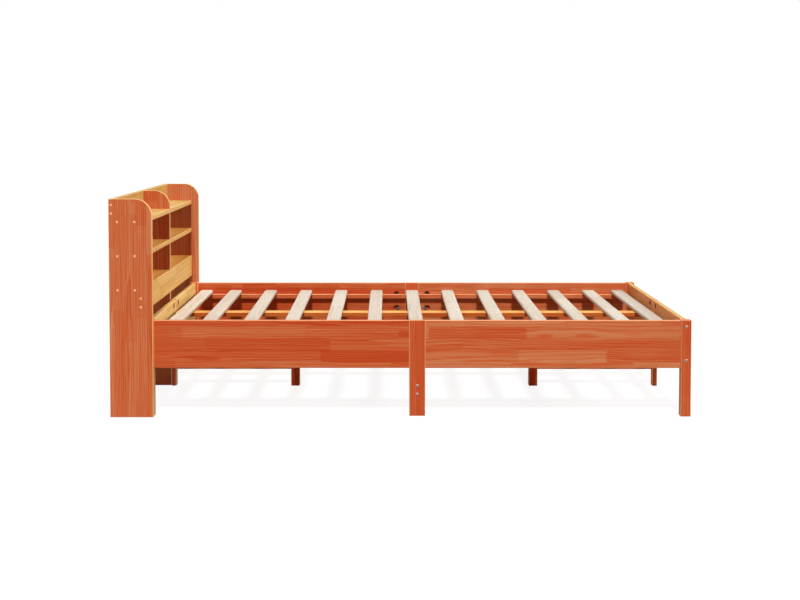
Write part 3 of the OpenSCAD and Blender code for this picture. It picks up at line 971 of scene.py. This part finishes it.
def lathe(rings: Sequence[Pair], segments: int,
          shapes: dict[int, Callable[[int], float]] | None = None) -> Shape:
    """Extrudes a ring of points step by step, and closes both ends.

    Args:
        rings: Radius and height of each ring, from one end to the other.
        segments: Points of a ring.
        shapes: For a ring that isn't round, the factor on its radius at each point.

    Returns:
        A closed shape around Z.
    """
    mesh = bmesh.new()
    made = bmesh.ops.create_circle(mesh, segments=segments, radius=1.0, cap_ends=True)
    verts = list(made["verts"])
    edges = list({e for v in verts for e in v.link_edges})
    for number, (radius, height) in enumerate(rings):
        if number:
            step = bmesh.ops.extrude_edge_only(mesh, edges=edges)["geom"]
            verts = [v for v in step if isinstance(v, bmesh.types.BMVert)]
            edges = [e for e in step if isinstance(e, bmesh.types.BMEdge)]
        shape = (shapes or {}).get(number)
        for vert in verts:
            flat = Vector((vert.co.x, vert.co.y, 0)).normalized()
            angle = Vector((1, 0)).angle_signed(flat.to_2d())
            factor = shape(round(angle / (2 * pi) * segments) % segments) if shape else 1.0
            vert.co = flat * radius * factor + Vector((0, 0, height))
    bmesh.ops.holes_fill(mesh, edges=edges, sides=segments)
    bmesh.ops.recalc_face_normals(mesh, faces=mesh.faces)
    return mesh


@dataclass(frozen=True)
class Place:
    """Where a fastener sits: the point on the surface and the direction that it goes in."""

    at: Vector
    into: Vector

    def matrix(self) -> Matrix:
        """Moves a shape around Z, whose head looks to +Z, to this place."""
        turn = (-self.into).to_track_quat("Z", "Y").to_matrix().to_4x4()
        return Matrix.Translation(self.at) @ turn


def scatter(whole: Shape, pattern: Shape, places: Iterable[Place]) -> None:
    """Adds copies of a shape to another one.

    Args:
        whole: The shape that grows.
        pattern: The shape to copy, around Z, with its head at the origin. It is freed.
        places: Where the copies go.
    """
    master = stored("pattern", pattern)
    for place in places:
        before = len(whole.verts)
        whole.from_mesh(master)
        whole.verts.ensure_lookup_table()
        bmesh.ops.transform(whole, matrix=place.matrix(), verts=whole.verts[before:])
    bpy.data.meshes.remove(master)


# ---- The bed


@dataclass
class Bed:
    """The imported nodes, and the main places that the sub-assemblies share."""

    nodes: dict[str, bpy.types.Object]
    mid_x: float = 0.0605
    post_x: float = 1.011
    post_y: float = 0.611
    post: float = 0.038
    deck_z: float = 0.312
    slat_top: float = 0.330
    narrow_zs: Pair = (0.244, 0.308)
    wide_zs: Pair = (0.212, 0.340)
    stretcher_zs: Pair = (0.083, 0.115)
    slats: tuple[str, ...] = tuple(f"slat_{number:02d}" for number in range(1, 14))
    recesses: list[Recess] = field(default_factory=list)
    made: int = field(default=0, init=False)

    def seed(self) -> float:
        """Returns a new number for each piece, the same in each run."""
        self.made += 1
        return float(self.made)

    def timber(self, node: str, mesh: Shape, finish: StainedPine | RawPine, figure: Figure,
               pockets: Sequence[Recess] = ()) -> None:
        """Makes a timber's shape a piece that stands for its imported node.

        Args:
            node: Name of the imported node.
            mesh: The timber's shape. It is freed.
            finish: Its finish.
            figure: How the grain and the strips lie.
            pockets: Its nut pockets, apart from the recesses of its caps and screws.
        """
        span = Span.of(node)
        recesses = [*pockets, *(r for r in self.recesses if r.opens(span))]
        mesh.normal_update()
        for recess in recesses:
            recess.mark(mesh)
        for recess in recesses:
            recess.sink(mesh)
        finish_piece(f"{node}_timber", node, mesh,
                     finish.material(Board(node, figure, span.centre, self.seed())))


@dataclass
class BookcaseHeadboard:
    """Side panels, divider, shelves and boards, with the caps over their screws.

    The caps' places are measured from the panels' back edge and from the floor.
    """

    bed: Bed
    outer_y: float = 0.648
    corner_r: float = 0.065
    panel_ease: float = 0.002
    shelf_ease: float = 0.0025
    panel_strip: float = 0.0405
    panel_block: float = 0.46
    board_strip: float = 0.0385
    board_block: float = 0.5
    cap_r: float = 0.0045
    cap_t: float = 0.0025
    cap_step: float = 0.016
    back_caps: Pair = (0.010, 0.7835)
    front_caps: Pair = (0.119, 0.4325)
    shelf_cap_xs: Pair = (0.032, 0.097)
    shelf_cap_zs: Triple = (0.736, 0.608, 0.480)

    def laps(self) -> tuple[tuple[Span, ...], dict[str, Span]]:
        """Works out where the divider, the shelves and the boards are halved.

        Returns:
            The divider's notches, and the notch of each shelf.
        """
        divider = Span.of("divider_panel")
        middle = divider.centre.x
        notches, slots = [], {}
        for node in ("upper_shelf", "middle_shelf", "lower_shelf"):
            shelf = Span.of(node)
            notches.append(Span(Vector((middle, shelf.low.y, shelf.low.z)),
                                shelf.high + Axis.X.value))
            slots[node] = Span(Vector((shelf.low.x - 1, divider.low.y, shelf.low.z)),
                               Vector((middle, divider.high.y, shelf.high.z)))
        back, front = Span.of("back_board"), Span.of("front_board")
        notches.append(Span(back.low - Axis.X.value, back.high + Axis.Z.value))
        notches.append(Span(front.low, Vector((front.high.x + 1, front.high.y,
                                               Span.of("lower_shelf").centre.z))))
        return tuple(notches), slots

    def cap_places(self) -> list[Place]:
        """Works out where the caps sit on both side panels.

        Returns:
            The places, first those of the right panel.
        """
        back = Span.of("side_panel_right").low.x
        above, below = ([(x, z + k * self.cap_step) for k in BOTH]
                        for x, z in (self.back_caps, self.front_caps))
        spots = above + [(x, z) for x in self.shelf_cap_xs for z in self.shelf_cap_zs] + below
        return [Place(Vector((back + x, s * self.outer_y, z)), Vector((0, -s, 0)))
                for s in BOTH for x, z in spots]

    def cap_recesses(self) -> list[Recess]:
        """Works out the recesses that the caps sit in.

        Returns:
            One recess for each cap.
        """
        return [Recess(p.at, p.into, self.cap_r + PLAY, self.cap_t + PLAY, margin=0.0014,
                       rim=0.0003, cuts=6) for p in self.cap_places()]

    def wood(self, stained: StainedPine) -> None:
        """Builds the panels, the shelves and the boards.

        Args:
            stained: Finish of the wood.
        """
        notches, slots = self.laps()
        # The far (left) panel and the divider are painted darker: painted shade.
        for node, cuts, tone, painted_brightness in (("side_panel_right", (), 0.16, 1.0),
                                            ("side_panel_left", (), 0.2, 0.88),
                                            ("divider_panel", notches, 0.14, 0.88)):
            panel = Slab(Span.of(node), Axis.Y, cuts, self.corner_r, self.panel_ease)
            self.bed.timber(node, panel.mesh(), stained,
                            Figure(Axis.Z, Axis.X, self.panel_strip, self.panel_block, tone,
                                   painted_brightness=painted_brightness))
        for node, slot in slots.items():
            shelf = Slab(Span.of(node), Axis.Z, (slot,), 0.0, self.shelf_ease, (Axis.X,))
            # The middle and lower shelves lie in shade, so their tops are painted gold: painted
            # light.
            finish = stained if node == "upper_shelf" else replace(stained, top=PaintedTopTone.GOLD)
            self.bed.timber(node, shelf.mesh(), finish,
                            Figure(Axis.Y, Axis.X, self.board_strip, self.board_block))
        # The back board is painted darker: painted shade.
        for node, painted_brightness in (("back_board", 0.84), ("front_board", 1.0)):
            board = Stick(Span.of(node), Axis.Y, end_ease=0.0)
            self.bed.timber(node, board.mesh(), stained,
                            Figure(Axis.Y, Axis.Z, self.board_strip, self.board_block,
                                   painted_brightness=painted_brightness))

    def caps(self, plastic: CapPlastic) -> None:
        """Builds the caps, which are slightly dished.

        Args:
            plastic: Finish of the caps.
        """
        r, t = self.cap_r, self.cap_t
        # From the hidden end, over the eased rim, to the middle of the dish.
        cap = lathe(((r * 0.94, -t), (r, -t + 0.0004), (r, -0.0005), (r - 0.0002, -0.0001),
                     (r - 0.0008, 0.0), (r * 0.4, -0.0003), (r * 0.1, -0.0004)), ROUND)
        whole = bmesh.new()
        scatter(whole, cap, self.cap_places())
        name = "panel_caps"
        finish_piece(name, "screw_caps", whole, plastic.material(name))

    def build(self, stained: StainedPine, plastic: CapPlastic) -> None:
        """Builds the headboard.

        Args:
            stained: Finish of the wood.
            plastic: Finish of the caps.
        """
        self.wood(stained)
        self.caps(plastic)


@dataclass
class Underframe:
    """Posts, legs, rails, ledges, beam and stretchers."""

    bed: Bed
    pocket_inset: float = 0.040
    rail_strip: float = 0.0452
    post_block: float = 0.6
    support_block: float = 0.5

    def posts(self, stained: StainedPine) -> None:
        """Builds the posts and the legs.

        Args:
            stained: Their finish.
        """
        square, flat = (Axis.Z, Axis.X), (Axis.Z, Axis.Y)
        plans = {f"{e}_post_{s}": (square, tone) for e, tone in (("head", -0.14), ("foot", -0.06))
                 for s in SIDES}
        plans |= {f"side_leg_{s}": (square, -0.16) for s in SIDES}
        plans |= {f"{e}_centre_leg": (flat, 0.0) for e in ENDS}
        plans |= {f"beam_leg_{p}": (flat, -0.1) for p in ("head", "middle", "foot")}
        for node, (axes, tone) in plans.items():
            self.bed.timber(node, Stick(Span.of(node), Axis.Z).mesh(), stained,
                            Figure(*axes, ONE_STRIP, self.post_block, tone))

    def rail(self, node: str, inward: Vector, leg: Vector, zs: Sequence[float],
             stained: StainedPine, figure: Figure) -> None:
        """Builds one rail with its two pockets.

        Args:
            node: Name of the rail's node.
            inward: Direction of its inner face, with the pockets.
            leg: Direction of the end that meets the leg in the middle.
            zs: Heights of the pockets.
            stained: Finish of the wood.
            figure: How the grain and the strips lie.
        """
        span = Span.of(node)
        half = span.size / 2
        to_face = inward * half.dot(Vector(map(abs, inward)))
        to_pocket = leg * (half[figure.grain.index] - self.pocket_inset)
        pockets = []
        for z in zs:
            at = span.centre + to_face + to_pocket
            at.z = z
            pockets.append(Recess(at, -inward))
        self.bed.timber(node, Stick(span, figure.grain).mesh(), stained, figure, pockets)

    def rails(self, stained: StainedPine, honey: StainedPine) -> None:
        """Builds the rails of the sides and of the ends.

        Args:
            stained: Finish of the side rails.
            honey: Finish of the end rails.
        """
        x, y = Axis.X.value, Axis.Y.value
        # The far (left) rails are painted darker: painted shade.
        for side, s, painted_brightness in (("right", -1, 1.0), ("left", 1, 0.92)):
            # The end rails' tones paint light: the head rail, whose inner face looks to the
            # light, paler; the foot rail darker.
            for end, e, tone, end_light_tone in (("head", -1, -0.12, 0.27), ("foot", 1, 0.12, -0.07)):
                self.rail(f"side_rail_{end}_{side}", -s * y, -e * x, self.bed.narrow_zs, stained,
                          Figure(Axis.X, Axis.Z, self.rail_strip, tone=tone, painted_brightness=painted_brightness))
                self.rail(f"{end}_rail_{side}", -e * x, -s * y, self.bed.wide_zs, honey,
                          Figure(Axis.Y, Axis.Z, self.rail_strip, tone=end_light_tone))

    def supports(self, stained: StainedPine) -> None:
        """Builds the ledges, the beam and the stretchers.

        Args:
            stained: Finish of the ledges and the stretchers. The beam's is paler, with painted
                light on its top.
        """
        plans = {f"ledge_{e}_{s}": (Axis.X, Axis.Y) for e in ENDS for s in SIDES}
        plans |= {f"centre_beam_{e}": (Axis.X, Axis.Y) for e in ENDS}
        plans |= {f"lower_stretcher_{e}": (Axis.X, Axis.Z) for e in ENDS}
        plans |= {f"cross_stretcher_{s}": (Axis.Y, Axis.Z) for s in SIDES}
        # The beam's top is painted gold and its rims a paler highlight: painted light.
        amber = StainedPine(top=PaintedTopTone.GOLD, side=SideTone.AMBER, rim=(250, 196, 126))
        for node, (grain, across) in plans.items():
            self.bed.timber(node, Stick(Span.of(node), grain).mesh(),
                            amber if "beam" in node else stained,
                            Figure(grain, across, ONE_STRIP, self.support_block))

    def build(self, stained: StainedPine, honey: StainedPine) -> None:
        """Builds the underframe.

        Args:
            stained: Finish of the side rails and of what stands on the floor.
            honey: Finish of the end rails.
        """
        self.posts(stained)
        self.rails(stained, honey)
        self.supports(stained)


@dataclass
class SlatDeck:
    """The slats. The first ones, next to the headboard, are painted lighter: painted light in the
    headboard's shadow.
    """

    bed: Bed
    edge_r: float = 0.007
    contrast: float = 1.2
    # Painted light on the first slats, which lie in the headboard's shadow.
    painted_brightness: Triple = (1.18, 1.10, 1.04)

    def build(self, raw: RawPine) -> None:
        """Builds the slats.

        Args:
            raw: Finish of the slats.
        """
        plain = (1.0,) * (len(self.bed.slats) - len(self.painted_brightness))
        for node, painted_brightness in zip(self.bed.slats, self.painted_brightness + plain):
            self.bed.timber(node, Stick(Span.of(node), Axis.Y, self.edge_r).mesh(), raw,
                            Figure(Axis.Y, Axis.X, ONE_STRIP, contrast=self.contrast,
                                   painted_brightness=painted_brightness))


@dataclass
class Fasteners:
    """Bolts with hexagon sockets, screws with cross recesses, and the nuts in the pockets.

    The grip is the part of a bolt that is in the wood beyond its post or leg. The socket's
    depths are those of its floor, its wall and its lip, and a screw's tip has a radius and a
    length. The places of the screws are measured from the middle of the bed.
    """

    bed: Bed
    shank_r: float = 0.003
    head_r: float = 0.006
    head_h: float = 0.003
    head_ease: float = 0.0002
    dome_rs: Triple = (0.0036, 0.0046, 0.0054)
    socket_r: float = 0.0022
    socket_flare: float = 1.22
    socket_depths: Triple = (0.0019, 0.0018, 0.00015)
    tip: float = 0.0006
    grip: float = 0.039
    sink: float = 0.0005
    end_leg_t: float = 0.020
    rail_t: float = 0.018
    beam_leg_l: float = 0.036
    beam_leg_x: float = 0.5
    beam_t: float = 0.018
    beam_grip: float = 0.030
    screw_r: float = 0.002
    screw_head_r: float = 0.004
    screw_head_h: float = 0.0025
    screw_tip: Pair = (0.0003, 0.004)
    cross_r: float = 0.0022
    cross_depth: float = 0.0014
    slat_screw_l: float = 0.030
    slat_screw_x: float = 0.016
    beam_screw_l: float = 0.050
    beam_screw_xs: Pair = (0.009, 0.5)
    beam_screw_y: float = 0.0095
    ledge_screw_l: float = 0.033
    ledge_screw_xs: tuple[float, ...] = (0.150, 0.323, 0.496, 0.669, 0.842)
    ledge_screw_y: float = 0.580
    ledge_screw_drop: float = 0.010
    head_screw_l: float = 0.048
    head_screw_y: float = 0.592

    def domed_bolt(self, length: float) -> Shape:
        """Makes a bolt with a domed head and a hexagon socket.

        Args:
            length: Length below the head.

        Returns:
            The bolt around Z, with its head's underside at the origin.
        """
        ball = (self.head_r ** 2 + self.head_h ** 2) / (2 * self.head_h)
        socket = self.socket_r
        rim = socket * self.socket_flare

        def dome(radius: float) -> float:
            """Height of the dome at a radius."""
            return sqrt(ball ** 2 - radius ** 2) - (ball - self.head_h)

        def hexagon(point: int) -> float:
            """Factor that turns a ring into a hexagon."""
            return 1 / cos(radians((point * 360 / ROUND + 30) % 60 - 30))

        floor, wall, lip = (dome(rim) - depth for depth in self.socket_depths)
        rings = [(socket * 0.5, floor), (socket * 0.97, wall), (socket, lip),
                 *((r, dome(r)) for r in (rim, *self.dome_rs)),
                 (self.head_r, self.head_ease), (self.head_r - self.head_ease, 0.0),
                 (self.shank_r, 0.0), (self.shank_r, -length + self.tip),
                 (self.shank_r - self.tip, -length)]
        return lathe(rings, ROUND, {0: hexagon, 1: hexagon, 2: hexagon})

    def flat_screw(self, length: float) -> Shape:
        """Makes a countersunk screw with a cross recess.

        Args:
            length: Length from the head's top.

        Returns:
            The screw around Z, with its head's top at the origin.
        """
        arms = (1.0, 1.0, 0.5, 0.42, 0.5, 1.0)

        def cross(point: int) -> float:
            """Factor that turns a ring into a cross of four arms."""
            return arms[point % len(arms)]

        arm, head, ease = self.cross_r, self.screw_head_r, self.head_ease
        tip_r, tip_l = self.screw_tip
        rings = [(arm * 0.5, -self.cross_depth), (arm, -ease), (arm * 1.05, 0.0),
                 (head - ease, 0.0), (head, -ease), (self.screw_r, -self.screw_head_h),
                 (self.screw_r, -length + tip_l), (tip_r, -length)]
        return lathe(rings, ROUND, {0: cross, 1: cross, 2: cross})

    def bolt_places(self) -> dict[float, list[Place]]:
        """Works out where the domed bolts go.

        Returns:
            The places for each length below the head.
        """
        bed = self.bed
        found: dict[float, list[Place]] = {}

        def put(length: float, at: Sequence[float], into: Sequence[float]) -> None:
            """Notes one bolt."""
            found.setdefault(round(length, 4), []).append(Place(Vector(at), Vector(into)))

        for e in BOTH:
            x = bed.mid_x + e * bed.post_x
            drop = self.head_h + self.sink if e < 0 else 0.0
            for s in BOTH:
                for z in bed.narrow_zs:
                    put(bed.post + self.grip, (x + e * bed.post / 2, s * bed.post_y, z),
                        (-e, 0, 0))
                for z in bed.wide_zs:
                    put(bed.post + self.grip - drop,
                        (x, s * (bed.post_y + bed.post / 2 - drop), z), (0, -s, 0))
            face = x + e * self.end_leg_t / 2
            leg = bed.mid_x + e * (self.beam_leg_x - self.beam_leg_l / 2)
            for z in bed.stretcher_zs:
                put(self.end_leg_t + self.grip, (face, 0, z), (-e, 0, 0))
                put(self.beam_leg_l + self.grip, (leg, 0, z), (e, 0, 0))
            put(self.end_leg_t + self.beam_grip, (face, 0, bed.deck_z - self.beam_t / 2),
                (-e, 0, 0))
        for s in BOTH:
            for z in bed.stretcher_zs:
                put(self.rail_t + self.grip,
                    (bed.mid_x, s * (bed.post_y + self.rail_t / 2), z), (0, -s, 0))
        return found

    def screw_places(self) -> dict[float, list[Place]]:
        """Works out where the countersunk screws go.

        Returns:
            The places for each length.
        """
        bed = self.bed
        down = Vector((0, 0, -1))
        return {
            self.slat_screw_l: [
                Place(Vector((Span.of(slat).centre.x + k * self.slat_screw_x, 0, bed.slat_top)),
                      down) for slat in bed.slats for k in BOTH],
            self.beam_screw_l: [
                Place(Vector((bed.mid_x + e * x, k * self.beam_screw_y, bed.deck_z)), down)
                for x in self.beam_screw_xs for e in BOTH for k in BOTH],
            self.ledge_screw_l: [
                Place(Vector((bed.mid_x + e * x, s * self.ledge_screw_y,
                              bed.deck_z - self.ledge_screw_drop)), Vector((0, s, 0)))
                for e in BOTH for s in BOTH for x in self.ledge_screw_xs],
            self.head_screw_l: [
                Place(Vector((bed.mid_x - bed.post_x, s * self.head_screw_y, z)),
                      Vector((0, s, 0))) for s in BOTH for z in bed.stretcher_zs],
        }

    def screw_recesses(self) -> list[Recess]:
        """Works out the recesses that the countersunk heads sit in.

        Returns:
            One recess for each screw.
        """
        return [Recess(p.at, p.into, self.screw_head_r + PLAY, self.screw_head_h + PLAY,
                       margin=0.0008, rim=0.0002, cuts=6)
                for places in self.screw_places().values() for p in places]

    def build(self, zinc: ZincSteel, raw: RawPine) -> None:
        """Builds the bolts and screws, and dresses the hidden fasteners.

        Args:
            zinc: Finish of the bolts. The screws, studs and nuts are darker, a painted shade of
                the recesses and pockets that they sit in.
            raw: Finish of the dowels.
        """
        # A darker copy of the zinc: painted shade for the fasteners in recesses and pockets.
        painted_light = replace(zinc, dull=(92, 82, 74), bright=(138, 126, 116))
        for name, node, finish, shape, places in (
                ("socket_bolts", "frame_bolts", zinc, self.domed_bolt, self.bolt_places()),
                ("cross_screws", "countersunk_screws", painted_light, self.flat_screw,
                 self.screw_places())):
            whole = bmesh.new()
            for length, spots in places.items():
                scatter(whole, shape(length), spots)
            finish_piece(name, node, whole, finish.material(name))
        for node in ("joint_studs", "joint_nuts", "headboard_screws"):
            self.dress(node, painted_light.material(node))
        figure = Figure(Axis.X, Axis.Y, ONE_STRIP, block=0.5)
        self.dress("dowels", raw.material(
            Board("dowels", figure, Span.of("dowels").centre, self.bed.seed())))

    def dress(self, node: str, material: bpy.types.Material) -> None:
        """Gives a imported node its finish.

        Args:
            node: Name of the node.
            material: Its material.
        """
        data = self.bed.nodes[node].data
        data.materials.clear()
        data.materials.append(material)
        log.info("%s: dressed", node)


# ---- The studio


@dataclass(frozen=True)
class Sun:
    """A soft sun.

    Its light travels towards a direction. The level is the share of a colour that it shows on
    a face square to it, and the spread is its angle in degrees, which softens its shadows.
    """

    name: str
    towards: Triple
    level: float
    spread: float

    def build(self) -> None:
        """Puts the sun in the scene."""
        data = bpy.data.lights.new(self.name, "SUN")
        data.energy = self.level * pi
        data.angle = radians(self.spread)
        lamp = linked(self.name, data)
        lamp.rotation_euler = Vector(self.towards).to_track_quat("-Z", "Y").to_euler()


@dataclass
class Studio:
    """Floor, light and camera.

    The camera's pitch and yaw are in degrees. The floor has a dim colour for the light that it
    throws back at the bed, and a pale one with a glow for the camera.
    """

    camera_at: Triple = (-0.0494, -5.8149, 1.1074)
    camera_pitch: float = 3.0
    camera_yaw: float = 0.148
    lens: float = 62.514
    sensor: float = 36.0
    shift: Pair = (0.0193, -0.1312)
    far: float = 500.0
    floor_size: float = 400.0
    floor_dim: Triple = (0.30, 0.25, 0.21)
    floor_pale: float = 0.14
    floor_glow: float = 0.88
    ambient: float = 0.16
    ambient_tint: Triple = (1.0, 0.62, 0.50)
    suns: tuple[Sun, ...] = (
        Sun("front", (0.0, 1.0, -1.12), 0.88, 6.0),
        Sun("foot_end", (-1.0, 0.0, -0.50), 0.68, 16.0),
        Sun("head_end", (1.0, 0.35, -0.8), 0.18, 50.0),
        Sun("behind", (0.6, -1.0, -0.5), 0.34, 40.0))

    def camera(self) -> None:
        """Sets up the camera of the photograph."""
        data = bpy.data.cameras.new("camera")
        data.sensor_width = self.sensor
        data.lens = self.lens
        data.shift_x, data.shift_y = self.shift
        data.clip_end = self.far
        data.dof.use_dof = False
        camera = linked("camera", data)
        camera.location = self.camera_at
        camera.rotation_euler = Euler((radians(90 - self.camera_pitch), 0,
                                       radians(self.camera_yaw)))
        bpy.context.scene.camera = camera

    def mixed(self, g: Graph, lighting: bpy.types.Node, seen: bpy.types.Node) -> Socket:
        """Mixes what lights the bed with what the camera sees, straight or in a gloss.

        Args:
            g: The graph.
            lighting: Shader for the rays that light things.
            seen: Shader for the rays that see the background.

        Returns:
            The mixed shader.
        """
        path = g.add("LightPath").outputs
        white = g.math("MAXIMUM", path["Is Camera Ray"], path["Is Glossy Ray"])
        white = g.math("MAXIMUM", white, path["Is Transmission Ray"])
        return g.add("MixShader", white, lighting.outputs[0], seen.outputs[0]).outputs[0]

    def world(self) -> None:
        """Makes a world that is white to the camera and a soft light to the bed."""
        world = bpy.data.worlds.new("studio")
        bpy.context.scene.world = world
        world.use_nodes = True
        world.node_tree.nodes.clear()
        g = Graph(world.node_tree)
        soft = g.add("Background", (*self.ambient_tint, 1.0), self.ambient)
        white = g.add("Background", (1.0, 1.0, 1.0, 1.0), 1.0)
        g.add("OutputWorld", self.mixed(g, soft, white))

    def floor(self) -> None:
        """Makes the floor, which stays white round the bed's soft shadow."""
        mesh = bmesh.new()
        bmesh.ops.create_grid(mesh, x_segments=1, y_segments=1, size=self.floor_size / 2)
        floor = linked("floor", stored("floor", mesh))
        material = bpy.data.materials.new("floor")
        material.use_nodes = True
        material.node_tree.nodes.clear()
        g = Graph(material.node_tree)
        dim = g.add("BsdfDiffuse", (*self.floor_dim, 1.0))
        pale = g.add("BsdfDiffuse", (*(self.floor_pale,) * 3, 1.0))
        glow = g.add("Emission", (1.0, 1.0, 1.0, 1.0), self.floor_glow)
        seen = g.add("AddShader", pale.outputs[0], glow.outputs[0])
        g.add("OutputMaterial", self.mixed(g, dim, seen))
        floor.data.materials.append(material)

    def build(self) -> None:
        """Sets the whole studio up."""
        bpy.context.scene.view_settings.view_transform = "Standard"
        self.camera()
        self.world()
        self.floor()
        for sun in self.suns:
            sun.build()
        log.info("studio: camera, world, floor and lamps")


def main() -> None:
    """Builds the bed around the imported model."""
    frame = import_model()
    bed = Bed(frame["nodes"])
    # The honey finish paints its tops and ends honey: painted light.
    honey, raw = StainedPine(top=PaintedTopTone.HONEY, rim=(244, 196, 134)), RawPine()
    headboard, fasteners = BookcaseHeadboard(bed), Fasteners(bed)
    bed.recesses = headboard.cap_recesses() + fasteners.screw_recesses()
    Studio().build()
    headboard.build(honey, CapPlastic())
    Underframe(bed).build(StainedPine(), honey)
    SlatDeck(bed).build(raw)
    fasteners.build(ZincSteel(), raw)


if __name__ == "__main__":
    logging.basicConfig(level=logging.INFO, format="%(name)s %(message)s")
    main()
